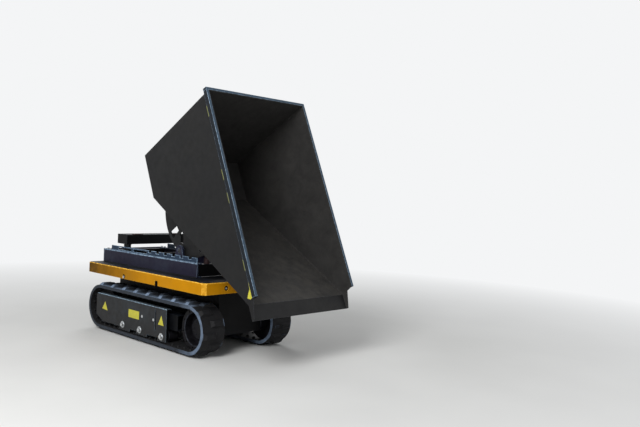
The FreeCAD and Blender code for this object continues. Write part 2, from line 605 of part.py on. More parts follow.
# Pivot: a lug on each rail, and a shaft through both. Rubber buffers stand ahead of it.
lugs = []
for side in SIDES.values():
    across = span(side, PIVOT_LUG_IN, PIVOT_LUG_OUT)
    foot = plate("XZ", [(f"{PIVOT_X} - pivot_lug_foot", RAIL_TOP), (f"{PIVOT_X} + pivot_lug_foot", RAIL_TOP),
                        (f"{PIVOT_X} + boss_radius", PIVOT_Z), (f"{PIVOT_X} - boss_radius", PIVOT_Z)], across)
    lugs.append(cut(fuse(rod(PIVOT_X, PIVOT_Z, across, "boss_radius"), foot),
                    rod(PIVOT_X, PIVOT_Z, across, "shaft_radius")))
on_carrier("pivot_lugs", fuse(*lugs))
on_carrier("pivot_shaft", rod(PIVOT_X, PIVOT_Z, (f"-{PIVOT_LUG_OUT}", PIVOT_LUG_OUT), "shaft_radius"))
on_carrier("front_buffers", fuse(*[post(BUFFER_X, where, (FLANGE_HIGH, BUFFER_TOP), "buffer_radius")
                                   for where in ("-pad_side", "pad_side")]))

# Rest beam behind the pivot, where the level skip's floor lies on two pads.
across = (f"-{RAIL_OUT}", RAIL_OUT)
on_carrier("rest_beam", cut(
    block((REST_REAR, REST_FRONT), across, (REST_LOW, REST_TOP)),
    block((f"{REST_REAR} + cross_wall", f"{REST_FRONT} - cross_wall"), across,
          (f"{REST_LOW} + cross_wall", f"{REST_TOP} - cross_wall"))))
on_carrier("rest_posts", fuse(*[block((f"{REST_FRONT} - post_length", REST_FRONT), span(side, RAIL_IN, STRIP_IN),
                                      (RAIL_TOP, REST_LOW)) for side in SIDES.values()]))
on_carrier("rest_pads", fuse(*[block((f"{REST_FRONT} - rest_under", REST_FRONT),
                                     (f"{where} - pad_width / 2", f"{where} + pad_width / 2"),
                                     (REST_TOP, f"{REST_TOP} + pad_thick")) for where in ("-pad_side", "pad_side")]))

# What the tracks run on: drive wheels on their motors ahead, idlers behind, rollers below.
IDLER_X = f"(-{WHEEL_X})"
RING_IN = f"({WHEEL_R} - wheel_rim)"
drive_wheels, drive_motors, idlers, rollers = [], [], [], []
for side in SIDES.values():
    drive_wheels.append(turned(WHEEL_X, WHEEL_Z, side, [
        (WHEEL_IN, "motor_radius"), (WHEEL_IN, WHEEL_R), (WHEEL_OUT, WHEEL_R), (WHEEL_OUT, RING_IN),
        (f"{WHEEL_IN} + wheel_web", RING_IN), (f"{WHEEL_IN} + wheel_web", "motor_radius")]))
    drive_motors.append(rod(WHEEL_X, WHEEL_Z, span(side, CHASSIS_SIDE, f"{WHEEL_IN} + wheel_web + motor_end"),
                            "motor_radius"))
    idlers.append(turned(IDLER_X, WHEEL_Z, side, [
        (BEAM_IN, "0"), (BEAM_IN, "hub_radius"), (WHEEL_IN, "hub_radius"), (WHEEL_IN, WHEEL_R),
        (WHEEL_OUT, WHEEL_R), (WHEEL_OUT, "hub_radius"), (BEAM_OUT, "hub_radius"), (BEAM_OUT, "0")]))
    for where in ROLLER_X:
        rollers.append(rod(where, ROLLER_Z, span(side, BEAM_IN, BEAM_OUT), "roller_radius"))
on_carrier("drive_wheels", fuse(*drive_wheels))
on_carrier("drive_motors", fuse(*drive_motors))
on_carrier("idlers", fuse(*idlers))
on_carrier("rollers", fuse(*rollers))

# Tracks, the beams that carry their rollers and idlers, and the covers bolted over the beams.
NOTCH_TOP = f"({COVER_LOW} + cover_notch)"
for name, side in SIDES.items():
    track = doc.addObject("Part::Feature", "Track")
    track.Shape = track_shape(side)
    on_carrier("track_" + name, track)

    beam = span(side, BEAM_IN, BEAM_OUT)
    inside = span(side, f"{BEAM_IN} + beam_wall", f"{BEAM_OUT} - beam_wall")
    frame = [cut(block((f"-{BEAM_END}", BEAM_END), beam, (BEAM_LOW, BEAM_HIGH)),
                 block((f"-{BEAM_END}", BEAM_END), inside, (f"{BEAM_LOW} + beam_wall", f"{BEAM_HIGH} - beam_wall")))]
    for across in (span(side, HANGER_IN, BEAM_IN), span(side, BEAM_OUT, HANGER_OUT)):
        frame.append(block((f"{IDLER_X} - fork_half", f"fork_reach - {BEAM_END}"), across,
                           (f"{WHEEL_Z} - fork_half", f"{WHEEL_Z} + fork_half")))
        frame.append(block((f"{ROLLER_X[0]} - hanger_half", f"{ROLLER_X[-1]} + hanger_half"), across,
                           (f"{ROLLER_Z} - hanger_half", BEAM_HIGH)))
    for where in ROLLER_X:
        frame.append(block((f"{where} - hanger_half", f"{where} + hanger_half"), span(side, HANGER_OUT, COVER_IN),
                           (f"{BEAM_LOW} + hanger_half", f"{BEAM_HIGH} - hanger_half / 2")))
    on_carrier("track_beam_" + name, fuse(*frame))

    corners = [(f"{COVER_REAR} + cover_nick", COVER_HIGH), (COVER_FRONT, COVER_HIGH), (COVER_FRONT, COVER_LOW)]
    for index in (2, 1, 0):
        lobe_rear = f"{ROLLER_X[index]} - lobe_behind"
        corners += [(lobe_rear, COVER_LOW), (lobe_rear, NOTCH_TOP)]
        if index:
            next_lobe = f"{ROLLER_X[index - 1]} + lobe_ahead"
            corners += [(next_lobe, NOTCH_TOP), (next_lobe, COVER_LOW)]
    corners += [(f"{COVER_REAR} + cover_bevel", NOTCH_TOP), (COVER_REAR, f"{NOTCH_TOP} + cover_bevel_tall"),
                (COVER_REAR, f"{COVER_HIGH} - cover_nick")]
    across = span(side, COVER_IN, COVER_OUT)
    slot_x = f"({COVER_FRONT} - slot_back)"
    slot_low = f"({COVER_LOW} + slot_foot)"
    face = cut(plate("XZ", corners, across),
               block((f"{slot_x} - slot_wide", slot_x), across, (slot_low, f"{slot_low} + slot_tall")))
    fold = span(side, f"{COVER_OUT} - cover_flange", COVER_IN)
    top_fold = block((f"{COVER_REAR} + cover_nick", COVER_FRONT), fold, (f"{COVER_HIGH} - cover_thick", COVER_HIGH))
    on_carrier("cover_" + name, fuse(face, top_fold))

# Skip walls, each a plate of its own, with bars round the rim.
side_outline = [("0", "0"), ("rear_lean", FLOOR), ("floor_front", FLOOR), ("slope_front", LIP), (LIP_END, LIP),
                (LIP_END, f"{LIP} + cheek_tall"), ("(slope_front + rim_length) / 2", f"{LIP} / 2"),
                ("rim_length", "0")]
for name, side in SIDES.items():
    on_skip("skip_side_" + name, plate("XZ", side_outline, span(side, INNER_HALF, "skip_half_width")))
    on_skip("rim_bar_" + name, block(("0", "rim_length"), span(side, "skip_half_width", RIM_OUT), ("-rim_tall", "0")))
on_skip("rim_bar_rear", block(("-rim_thick", "0"), (f"-{RIM_OUT}", RIM_OUT), ("-rim_tall", "0")))
between = (f"-{INNER_HALF}", INNER_HALF)
rear_foot = f"(rear_lean + {REAR_THICK})"
on_skip("skip_rear_wall", plate("XZ", [("0", "0"), ("rear_lean", FLOOR), (rear_foot, FLOOR), (REAR_THICK, "0")],
                                between))
on_skip("skip_floor", plate("XZ", [
    (rear_foot, FLOOR), ("floor_front", FLOOR), (f"floor_front - {MITRE}", f"{FLOOR} + wall"),
    (f"{rear_foot} - rear_lean * wall / skip_deep", f"{FLOOR} + wall")], between))
on_skip("skip_slope", plate("XZ", [
    ("floor_front", FLOOR), ("slope_front", LIP), (f"slope_front - {MITRE}", f"{LIP} + wall"),
    (f"floor_front - {MITRE}", f"{FLOOR} + wall")], between))
on_skip("pouring_lip", plate("XZ", [
    ("slope_front", LIP), (LIP_END, LIP), (LIP_END, f"{LIP} + wall"), (f"slope_front - {MITRE}", f"{LIP} + wall")],
    between))

# Rocker plates under the skip, round at the bottom, with the sleeve that turns on the shaft
# and the stop tube that comes down on the buffers.
BELOW_ALL = f"(2 * {FLOOR})"
below = [("rear_lean", FLOOR), ("floor_front", FLOOR), ("slope_front", LIP), ("slope_front", BELOW_ALL),
         ("rear_lean", BELOW_ALL)]
SLOT_REACH = "(rocker_radius - hand_slot_inset)"
SLOT_U = f"(rocker_ahead + {SLOT_REACH} * cos(hand_slot_angle * 1deg))"
SLOT_V = f"({ROCKER_V} - {SLOT_REACH} * sin(hand_slot_angle * 1deg))"
for name, side in SIDES.items():
    across = span(side, ROCKER_IN, "rocker_outer")
    disc = common(rod("rocker_ahead", ROCKER_V, across, "rocker_radius"), plate("XZ", below, across))
    boss = rod(PIVOT_U, PIVOT_V, across, "rocker_boss")
    window = sector("rocker_ahead", ROCKER_V, across, "rocker_radius - window_rim - window_tall",
                    "rocker_radius - window_rim", "-window_end", "-window_start")
    hand_slot = sector(SLOT_U, SLOT_V, across, "hand_slot_inner", "hand_slot_outer",
                       "hand_slot_front", "hand_slot_rear")
    on_skip("rocker_" + name, cut(fuse(disc, boss), window, hand_slot, rod(PIVOT_U, PIVOT_V, across, SLEEVE_R),
                                  rod(STOP_U, STOP_V, across, "stop_radius")))
whole = ("-rocker_outer", "rocker_outer")
on_skip("hinge_sleeve", tube(PIVOT_U, PIVOT_V, whole, SLEEVE_R, "sleeve_wall"))
on_skip("stop_tube", tube(STOP_U, STOP_V, whole, "stop_radius", "stop_wall"))

doc.recompute()

for item in doc.Objects:
    if "Invalid" in item.State or "Error" in item.State:
        raise RuntimeError(f"{item.Label} ({item.TypeId}) is {item.State}")
for node in nodes:
    if node.Shape.isNull() or not node.Shape.isValid():
        raise RuntimeError(f"{node.Label} has no valid shape")

os.makedirs("parts", exist_ok=True)
for node in nodes:
    node.Shape.exportStep(f"parts/{node.Label}.step")
print(len(nodes), "sub-parts")
for label, place in (("carrier", CARRIER_X), ("pivot along", f"{PIVOT_X} + {CARRIER_X}"), ("pivot up", PIVOT_Z),
                     ("platform end", f"{PLATFORM_FRONT} + {CARRIER_X}"), ("level floor", LEVEL_FLOOR),
                     ("rim along", f"{RIM_X} + {CARRIER_X}"), ("rim up", RIM_Z)):
    print(label, round(amount(place), 3))
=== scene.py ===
"""Looks of a tracked site dumper with a tipping skip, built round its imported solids."""

import json
import math

import bmesh
import bpy
from mathutils import Matrix, Vector


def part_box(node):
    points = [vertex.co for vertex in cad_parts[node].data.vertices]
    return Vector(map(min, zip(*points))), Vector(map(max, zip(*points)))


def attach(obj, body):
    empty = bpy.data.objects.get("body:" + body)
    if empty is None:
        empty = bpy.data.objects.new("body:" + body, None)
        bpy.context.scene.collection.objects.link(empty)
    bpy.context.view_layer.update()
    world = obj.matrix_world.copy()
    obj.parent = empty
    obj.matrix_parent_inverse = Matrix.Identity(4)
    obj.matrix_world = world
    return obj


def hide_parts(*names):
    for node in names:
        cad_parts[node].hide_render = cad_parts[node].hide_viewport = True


bl_info = {
    "name": "Tracked site dumper",
    "version": (1, 0, 0),
    "blender": (4, 5, 0),
    "location": "View3D > Sidebar > Dumper",
    "description": "Builds the painted, welded and bolted looks of a small tracked dumper",
    "category": "Add Mesh",
}

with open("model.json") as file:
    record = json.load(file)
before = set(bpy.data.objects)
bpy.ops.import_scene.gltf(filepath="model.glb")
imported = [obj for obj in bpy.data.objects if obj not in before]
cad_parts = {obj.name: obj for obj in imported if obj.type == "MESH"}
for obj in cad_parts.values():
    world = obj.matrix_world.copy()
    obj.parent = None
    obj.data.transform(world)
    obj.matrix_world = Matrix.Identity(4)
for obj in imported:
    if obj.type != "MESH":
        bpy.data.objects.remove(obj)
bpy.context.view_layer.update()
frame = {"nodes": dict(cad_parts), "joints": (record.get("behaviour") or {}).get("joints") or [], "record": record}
NODES = frame["nodes"]

# Lengths are given in millimetres and turned to metres here.
MM = 0.001
BACKDROP = "#F4F5F6"
CARRIER, SKIP_BODY = "carrier", "skip"
SIDES = {"right": -1, "left": 1}

TRACK_LOW, TRACK_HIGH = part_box("track_right")
MIDDLE_X = (TRACK_LOW.x + TRACK_HIGH.x) / 2
BELT_Y = abs(TRACK_LOW.y + TRACK_HIGH.y) / 2
WHEEL_Z = TRACK_HIGH.z / 2
WHEEL_REACH = (TRACK_HIGH.x - TRACK_LOW.x) / 2 - WHEEL_Z
CARRIER_PLACE = Matrix.Translation((MIDDLE_X, 0, 0))

# The skip is drawn level, ahead of and below the rear corner of its rim, and then tipped.
TIP = math.radians(-frame["joints"][0]["range_deg"][0])
RIM = max((point.co for point in NODES["skip_side_right"].data.vertices), key=lambda place: place.z)
SKIP_PLACE = Matrix.Translation((RIM.x, 0, RIM.z)) @ Matrix.Rotation(TIP, 4, "Y")


def linear(code):
    """The linear colour of an sRGB hex value."""
    channels = [int(code[start:start + 2], 16) / 255 for start in (1, 3, 5)]
    return [c / 12.92 if c <= 0.04045 else ((c + 0.055) / 1.055) ** 2.4 for c in channels] + [1.0]


class DumperColours(bpy.types.PropertyGroup):
    """Colours of the machine's finishes."""

    platform: bpy.props.FloatVectorProperty(
        name="Platform", description="Powder coat of the platform's skirt", subtype="COLOR", size=4,
        min=0, max=1, default=linear("#C08200"))
    skip: bpy.props.FloatVectorProperty(
        name="Skip", description="Powder coat of the skip", subtype="COLOR", size=4, min=0, max=1,
        default=linear("#151516"))
    frame: bpy.props.FloatVectorProperty(
        name="Sub-frame", description="Paint of the rails and members on the deck", subtype="COLOR", size=4,
        min=0, max=1, default=linear("#1A182B"))
    cover: bpy.props.FloatVectorProperty(
        name="Covers", description="Paint of the plates inside the tracks", subtype="COLOR", size=4,
        min=0, max=1, default=linear("#262627"))
    rubber: bpy.props.FloatVectorProperty(
        name="Tracks", description="Rubber of the tracks", subtype="COLOR", size=4, min=0, max=1,
        default=linear("#111113"))
    patch: bpy.props.FloatVectorProperty(
        name="Patches", description="Blank stickers on the covers", subtype="COLOR", size=4, min=0, max=1,
        default=linear("#C6BE30"))
    dust: bpy.props.FloatVectorProperty(
        name="Dust", description="Dry site dust that lies on the machine", subtype="COLOR", size=4,
        min=0, max=1, default=linear("#8C8576"))


class DumperSizes(bpy.types.PropertyGroup):
    """Sizes of the trim that is added to the solids."""

    edge: bpy.props.FloatProperty(
        name="Plate edge", description="Rounding of cut plate edges", unit="LENGTH", default=0.8 * MM)
    tread_edge: bpy.props.FloatProperty(
        name="Tread edge", description="Rounding of the moulded lugs", unit="LENGTH", default=2.5 * MM)
    weld: bpy.props.FloatProperty(
        name="Weld", description="Leg of the weld beads", unit="LENGTH", default=4 * MM)
    bolt: bpy.props.FloatProperty(
        name="Bolt", description="Thread of the smaller bolts", unit="LENGTH", default=10 * MM)


# Shapes

def placed(place, x, y, z):
    """A spot given in millimetres in a piece's own frame, in the scene."""
    return place @ Vector((x * MM, y * MM, z * MM))


def across(axis):
    """The turn that carries +Z onto an axis."""
    return Vector(axis).to_track_quat("Z", "Y").to_matrix().to_4x4()


def cylinder(shape, centre, axis, radius, length, segments=32):
    """Add a round bar, or a prism of few sides, about a centre."""
    bmesh.ops.create_cone(
        shape, cap_ends=True, cap_tris=False, segments=segments, radius1=radius, radius2=radius, depth=length,
        matrix=Matrix.Translation(centre) @ across(axis))


def block(shape, low, high, place=Matrix.Identity(4)):
    """Add a box between two corners given in millimetres."""
    low, high = Vector(low) * MM, Vector(high) * MM
    stretch = Matrix.Diagonal((*(high - low), 1))
    bmesh.ops.create_cube(shape, size=1, matrix=place @ Matrix.Translation((low + high) / 2) @ stretch)


def prism(shape, corners, reach):
    """Add a flat outline and carry it along a vector to a closed solid."""
    face = shape.faces.new([shape.verts.new(corner) for corner in corners])
    grown = bmesh.ops.extrude_face_region(shape, geom=[face])["geom"]
    ends = [item for item in grown if isinstance(item, bmesh.types.BMVert)]
    bmesh.ops.translate(shape, vec=reach, verts=ends)
    bmesh.ops.recalc_face_normals(shape, faces=shape.faces)


def bolt(shape, centre, axis, size):
    """Add a hexagon head on its washer, for a thread of a size."""
    axis = Vector(axis)
    parts = (
        # middle from the face, radius and height, all in thread sizes, and sides
        (0.1, 1.15, 0.2, 28),
        (0.5, 0.92, 0.6, 6),
    )
    for middle, radius, height, sides in parts:
        cylinder(shape, centre + axis * size * middle, axis, size * radius, size * height, sides)


def bead(shape, start, end, radius):
    """Add a weld bead between two spots, laid down in short overlapping steps."""
    sides, step_length, fewest, waist = 8, radius * 0.55, 4, 0.86
    run = end - start
    steps = max(fewest, round(run.length / step_length))
    bar = bmesh.new()
    cylinder(bar, Vector(), (0, 0, 1), radius, run.length, sides)
    long_edges = [edge for edge in bar.edges if abs(edge.verts[0].co.z - edge.verts[1].co.z) > radius / 2]
    bmesh.ops.subdivide_edges(bar, edges=long_edges, cuts=steps, use_grid_fill=True)
    for point in bar.verts:
        step = (point.co.z / run.length + 0.5) * (steps + 1)
        swell = 1.0 if round(step) % 2 else waist
        point.co.x *= swell
        point.co.y *= swell
    bar.transform(Matrix.Translation((start + end) / 2) @ across(run))
    join(shape, bar)


def bead_along(shape, low, high, y, z, radius):
    """Add a weld bead along X from one corner's place to another's, at a side and a height."""
    bead(shape, Vector((low.x, y, z)), Vector((high.x, y, z)), radius)


def seam(shape, place, corners, radius):
    """Add weld beads along a run of corners given in millimetres in a piece's own frame."""
    for start, end in zip(corners, corners[1:]):
        bead(shape, placed(place, *start), placed(place, *end), radius)


def sticker(shape, place, outline, y, sign):
    """Add a thin blank sticker on a side, its outline given in millimetres along and up."""
    thick = 0.6 * MM
    prism(shape, [placed(place, x, y, z) for x, z in outline], Vector((0, sign * thick, 0)))


def join(shape, other):
    """Add another mesh to a mesh in work, and free it."""
    held = bpy.data.meshes.new("held")
    other.to_mesh(held)
    other.free()
    shape.from_mesh(held)
    bpy.data.meshes.remove(held)


def rounded(shape, width, sharp=32, segments=2, chosen=None):
    """Round off a mesh's sharp edges, or the chosen ones of them, and note the new faces as worn."""
    worn = shape.faces.layers.float.get("edge") or shape.faces.layers.float.new("edge")
    edges = [edge for edge in shape.edges
             if edge.is_manifold and edge.calc_face_angle(0) > math.radians(sharp)
             and (chosen is None or chosen(*(point.co for point in edge.verts)))]
    made = bmesh.ops.bevel(
        shape, geom=edges, offset=width, offset_type="OFFSET", affect="EDGES", segments=segments, profile=0.5,
        clamp_overlap=True, material=-1)
    for face in made["faces"]:
        face[worn] = 1.0
    return shape


def top_outer_corners(high, least_run):
    """A test that picks the long edges along the top outer corners of a left and right pair."""
    def chosen(one, other):
        return (min(one.z, other.z) > high.z - MM and min(abs(one.y), abs(other.y)) > high.y - MM
                and abs(one.x - other.x) > least_run)
    return chosen


def whole_faces(mesh):
    """A mesh in work with a copy of a mesh, its doubled points merged and its flat faces whole."""
    shape = bmesh.new()
    shape.from_mesh(mesh)
    bmesh.ops.remove_doubles(shape, verts=shape.verts, dist=0.01 * MM)
    bmesh.ops.dissolve_limit(shape, angle_limit=math.radians(0.5), verts=shape.verts, edges=shape.edges)
    return shape


def solid_of(node):
    """A mesh in work with a copy of a node's solid."""
    return whole_faces(NODES[node].data)


def carved(shape, tools):
    """A mesh with the room of its tools taken out of it."""
    pair = []
    for name, mesh_in_work in (("whole", shape), ("tools", tools)):
        held = bpy.data.meshes.new(name)
        bmesh.ops.recalc_face_normals(mesh_in_work, faces=mesh_in_work.faces)
        mesh_in_work.to_mesh(held)
        mesh_in_work.free()
        pair.append(bpy.data.objects.new(name, held))
        bpy.context.scene.collection.objects.link(pair[-1])
    whole, tool = pair
    cut = whole.modifiers.new("Cut", "BOOLEAN")
    cut.operation = "DIFFERENCE"
    cut.solver = "EXACT"
    cut.object = tool
    left = bpy.data.meshes.new_from_object(whole.evaluated_get(bpy.context.evaluated_depsgraph_get()))
    result = whole_faces(left)
    for mesh in (left, whole.data, tool.data):
        bpy.data.meshes.remove(mesh)
    return result


def finish_piece(name, shape, body, slot, look=None, stands_for=()):
    """Make a mesh in work a named piece that rides on a body, with its slot's finish or another look."""
    sharp = math.radians(30)
    mesh = bpy.data.meshes.new(name)
    shape.to_mesh(mesh)
    shape.free()
    mesh.materials.append(finish(look or SLOT_FINISH[slot]))
    mesh.shade_smooth()
    mesh.set_sharp_from_angle(angle=sharp)
    piece = bpy.data.objects.new(name, mesh)
    bpy.context.scene.collection.objects.link(piece)
    even = piece.modifiers.new("Even shading", "WEIGHTED_NORMAL")
    even.keep_sharp = True
    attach(piece, body)
    if stands_for:
        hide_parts(*stands_for)
    return piece


def soften(nodes, name, width, body, slot, look=None, extra=None, bends=None):
    """One piece that stands for like nodes, with their sharp edges rounded off.

    Bends are a width and a test of an edge's two ends: those edges get their own rounding first.
    """
    whole = bmesh.new()
    whole.faces.layers.float.new("edge")
    for node in nodes:
        shape = solid_of(node)
        if bends is not None:
            rounded(shape, bends[0], segments=4, chosen=bends[1])
        join(whole, rounded(shape, width))
    if extra is not None:
        join(whole, extra)
    return finish_piece(name, whole, body, slot, look, nodes)


# Finishes

# Where a Mix node keeps its share and its two colours, and where it gives the mixture.
SHARE, FIRST, SECOND, MIXTURE = 0, 6, 7, 2


def feed(tree, made, values):
    """Give a node its settings and inputs, each a value or the socket that feeds it."""
    for key, value in values.items():
        if isinstance(value, bpy.types.NodeSocket):
            tree.links.new(value, made.inputs[key])
        elif isinstance(key, str) and hasattr(made, key):
            setattr(made, key, value)
        else:
            made.inputs[key].default_value = value


def node(tree, kind, values=None):
    """Add a shader node with its settings and inputs."""
    made = tree.nodes.new("ShaderNode" + kind)
    feed(tree, made, values or {})
    return made


def new_finish(name):
    """An empty material with its shader, and the sockets where its patterns are read."""
    material = bpy.data.materials.new(name)
    material.use_nodes = True
    tree = material.node_tree
    tree.nodes.clear()
    shader = node(tree, "BsdfPrincipled")
    node(tree, "OutputMaterial", {"Surface": shader.outputs[0]})
    return material, tree, shader, node(tree, "TexCoord").outputs


def blotches(tree, where, size, low, high, least=0.0, most=1.0, detail=2.0, fine=0.5, swirl=0.0):
    """Noise whose blobs are about so many millimetres across, cut off at two levels and spread out."""
    pattern = node(tree, "TexNoise", {"Vector": where["Object"], "Scale": 1 / (size * MM), "Detail": detail,
                                      "Roughness": fine, "Distortion": swirl}).outputs[0]
    return node(tree, "MapRange", {"Value": pattern, "From Min": low, "From Max": high, "To Min": least,
                                   "To Max": most}).outputs[0]


def grained(tree, where, shader, size, strength, depth, detail=2.0, fine=0.5):
    """Give a shader bumps about so many millimetres across and so many deep."""
    height = node(tree, "TexNoise", {"Vector": where["Object"], "Scale": 1 / (size * MM), "Detail": detail,
                                     "Roughness": fine}).outputs[0]
    bump = node(tree, "Bump", {"Strength": strength, "Distance": depth * MM, "Height": height})
    feed(tree, shader, {"Normal": bump.outputs[0]})


def two_toned(tree, shader, share, tones, roughness):
    """Let a shader's colour and roughness shift together between two tones by a share."""
    rough = node(tree, "MapRange", {"Value": share, "To Min": roughness[0], "To Max": roughness[1]})
    colour = layered(tree, tones[0], (share, tones[1]))
    feed(tree, shader, {"Base Color": colour, "Roughness": rough.outputs[0]})


def product(tree, *shares):
    """Shares multiplied together in their order, each a number or a socket."""
    result = shares[0]
    for share in shares[1:]:
        result = node(tree, "Math", {"operation": "MULTIPLY", 0: result, 1: share}).outputs[0]
    return result


def layered(tree, colour, *layers):
    """A colour with others laid over it, each by its share."""
    for share, layer in layers:
        both = node(tree, "Mix", {"data_type": "RGBA", SHARE: share, FIRST: colour, SECOND: layer})
        colour = both.outputs[MIXTURE]
    return colour


def dust_and_sheen_on_top(tree, where, amount):
    """The share of dust and painted sky sheen: on faces that look up in the piece's own frame, in uneven drifts.
    """
    facing = node(tree, "SeparateXYZ", {0: where["Normal"]}).outputs["Z"]
    flat = node(tree, "MapRange", {"Value": facing, "From Min": 0.5, "From Max": 0.95}).outputs[0]
    drifts = blotches(tree, where, size=60, detail=5, fine=0.65, low=0.38, high=0.68)
    return product(tree, flat, drifts, amount)


def edge_wear_and_sheen(tree, where, amount):
    """The share of wear and painted edge highlight: on the rounded edges only, broken up along them."""
    edge = node(tree, "Attribute", {"attribute_name": "edge"}).outputs["Fac"]
    broken = blotches(tree, where, size=18, detail=4, fine=0.6, low=0.4, high=0.6, least=0.3)
    return product(tree, edge, broken, amount)


def load_scuffs_and_sheen(tree, where):
    """The share of scouring, and on the rim bars' tops of painted sky sheen: on the faces that the mesh marks, in
    uneven scuffs.
    """
    slid_over = node(tree, "Attribute", {"attribute_name": "scoured_and_sheen"}).outputs["Fac"]
    scuffs = blotches(tree, where, size=90, detail=8, fine=0.75, swirl=0.6, low=0.3, high=0.65, least=0.5)
    return product(tree, slid_over, scuffs)


def painted_rear_shade(tree, where):
    """The share of painted shade on the sides: darkest at the rear, fading forwards, and broken up."""
    fades_over = 0.75
    along = node(tree, "SeparateXYZ", {0: where["Object"]}).outputs["X"]
    sideways = node(tree, "SeparateXYZ", {0: where["Normal"]}).outputs["Y"]
    squared = product(tree, sideways, sideways)
    on_sides = node(tree, "MapRange", {"Value": squared, "To Min": 0.5}).outputs[0]
    at_back = node(tree, "MapRange", {"Value": along, "From Min": TRACK_LOW.x, "To Min": 1.0, "To Max": 0.0,
                                      "From Max": TRACK_LOW.x + fades_over}).outputs[0]
    shade_breakup = blotches(tree, where, size=70, detail=6, fine=0.7, low=0.3, high=0.65, least=0.72)
    return product(tree, at_back, on_sides, shade_breakup)


def painted(name, colour, dust, wear_and_sheen_colour, roughness, grain, patchy, top_dust_and_sheen, worn, gloss, scoured_and_sheen=None,
            rear_shade=None):
    """Powder coat on steel: an even colour with fine orange peel, dust on top and worn edges.
    On the dark coats the blue-grey of the tops and edges is painted sky reflection as well as dust and wear.

    Grain is in millimetres. The scouring colour goes on the faces that the load slides over; on the rim bars'
    tops it is painted sky reflection as well as scouring. The rear shade colour is painted shade on the sides.
    """
    film_share, dull_smears, dull_dust = 0.3, (-0.06, 0.08), 0.35
    material, tree, shader, where = new_finish(name)
    tone = blotches(tree, where, size=170, detail=4, fine=0.6, low=0.3, high=0.7, least=1 - patchy,
                    most=1 + patchy)
    shade = node(tree, "VectorMath", {"operation": "SCALE", 0: colour[:3], "Scale": tone}).outputs[0]
    top = dust_and_sheen_on_top(tree, where, top_dust_and_sheen)
    thin = blotches(tree, where, size=260, detail=6, fine=0.7, low=0.45, high=0.8)
    film = product(tree, thin, top_dust_and_sheen * film_share)
    share = node(tree, "Math", {"operation": "MAXIMUM", 0: top, 1: film}).outputs[0]
    layers = []
    if scoured_and_sheen is not None:
        layers.append((load_scuffs_and_sheen(tree, where), scoured_and_sheen))
    # Painted shade: the sides darken towards the rear.
    if rear_shade is not None:
        layers.append((painted_rear_shade(tree, where), rear_shade))
    # On the dark coats the blue-grey dust and edge colours are painted sky reflection as well as dust and wear.
    layers += [(edge_wear_and_sheen(tree, where, worn), wear_and_sheen_colour), (share, dust)]
    shade = layered(tree, shade, *layers)
    smear = blotches(tree, where, size=35, detail=3, low=0.3, high=0.7, least=roughness + dull_smears[0],
                     most=roughness + dull_smears[1])
    dull = product(tree, share, dull_dust)
    rough = node(tree, "Math", {"operation": "ADD", 0: smear, 1: dull}).outputs[0]
    feed(tree, shader, {"Base Color": shade, "Roughness": rough, "Specular IOR Level": gloss})
    grained(tree, where, shader, size=grain, strength=0.35, depth=0.12)
    return material


def yellow_coat(colours):
    """Glossy yellow powder coat: warm and even, duller where dust lies, paler along worn edges, with painted shade
    darkening the sides towards the rear and a painted highlight on the cut corners.
    """
    # The pale worn colour also paints the highlight on the skirt's cut corners.
    return painted("yellow_powder_coat", colours.platform, colours.dust, linear("#FFC64A"), roughness=0.36,
                   grain=2.5, patchy=0.07, top_dust_and_sheen=0.12, worn=1.0, gloss=0.06, rear_shade=linear("#3A2802"))


def black_enamel():
    """Near-black enamel on the rest beam, the deck and inside the tracks: matt, hardly worn; on the deck and in
    the tracks its darkness is also painted shade, and its blue-grey dust partly painted sky reflection.
    """
    return painted("black_enamel_and_painted_shade", linear("#080809"), linear("#333B48"), linear("#2C333C"),
                   roughness=0.5, grain=2.5, patchy=0.1, top_dust_and_sheen=0.3, worn=0.5, gloss=0.12)


def strip_coat():
    """Dark enamel on the slotted strips: its blue tint and the pale blue-grey on its tops and edges are painted
    sky reflection as well as wear.
    """
    return painted("dark_enamel_with_sky_sheen", linear("#15293F"), linear("#55708A"), linear("#9BB6D0"),
                   roughness=0.42, grain=2.5, patchy=0.15, top_dust_and_sheen=0.8, worn=1.0, gloss=0.25)


def rim_coat():
    """Black paint on the rim bars: blue-grey on top, where the load slides over, from scouring and a painted sky
    reflection; dark on the outside.
    """
    # The blue-grey on the bars' tops is a painted sky reflection as well as scouring.
    return painted("rim_paint_with_sky_sheen", linear("#0F151C"), linear("#4A5866"), linear("#8296AA"),
                   roughness=0.45, grain=2.5, patchy=0.1, top_dust_and_sheen=0.1, worn=1.0, gloss=0.2,
                   scoured_and_sheen=linear("#3A4D5E"))


def skip_coat(colours):
    """Black satin powder coat on thick plate: an even soft black outside, scuffed greyer inside."""
    return painted("black_satin_powder_coat", colours.skip, colours.dust, linear("#4E5258"), roughness=0.5,
                   grain=3.0, patchy=0.1, top_dust_and_sheen=0.07, worn=0.6, gloss=0.2, scoured_and_sheen=linear("#373635"))


def frame_coat(colours):
    """Black sub-frame paint: cooler than the skip, its blue-grey tops and pale edges dust and wear with painted
    sky reflection.
    """
    return painted("black_frame_paint", colours.frame, linear("#4D5C6C"), linear("#8FA8C0"), roughness=0.5,
                   grain=2.5, patchy=0.08, top_dust_and_sheen=0.6, worn=1.0, gloss=0.2)


def cover_coat(colours):
    """Structured charcoal powder coat: a fine leathery grain that breaks up the highlights; its blue-grey tops and
    edges are painted sky reflection as well as dust and wear.
    """
    return painted("charcoal_structure_paint", colours.cover, linear("#6C8496"), linear("#8DA3B5"),
                   roughness=0.56, grain=1.6, patchy=0.08, top_dust_and_sheen=0.35, worn=1.0, gloss=0.2)


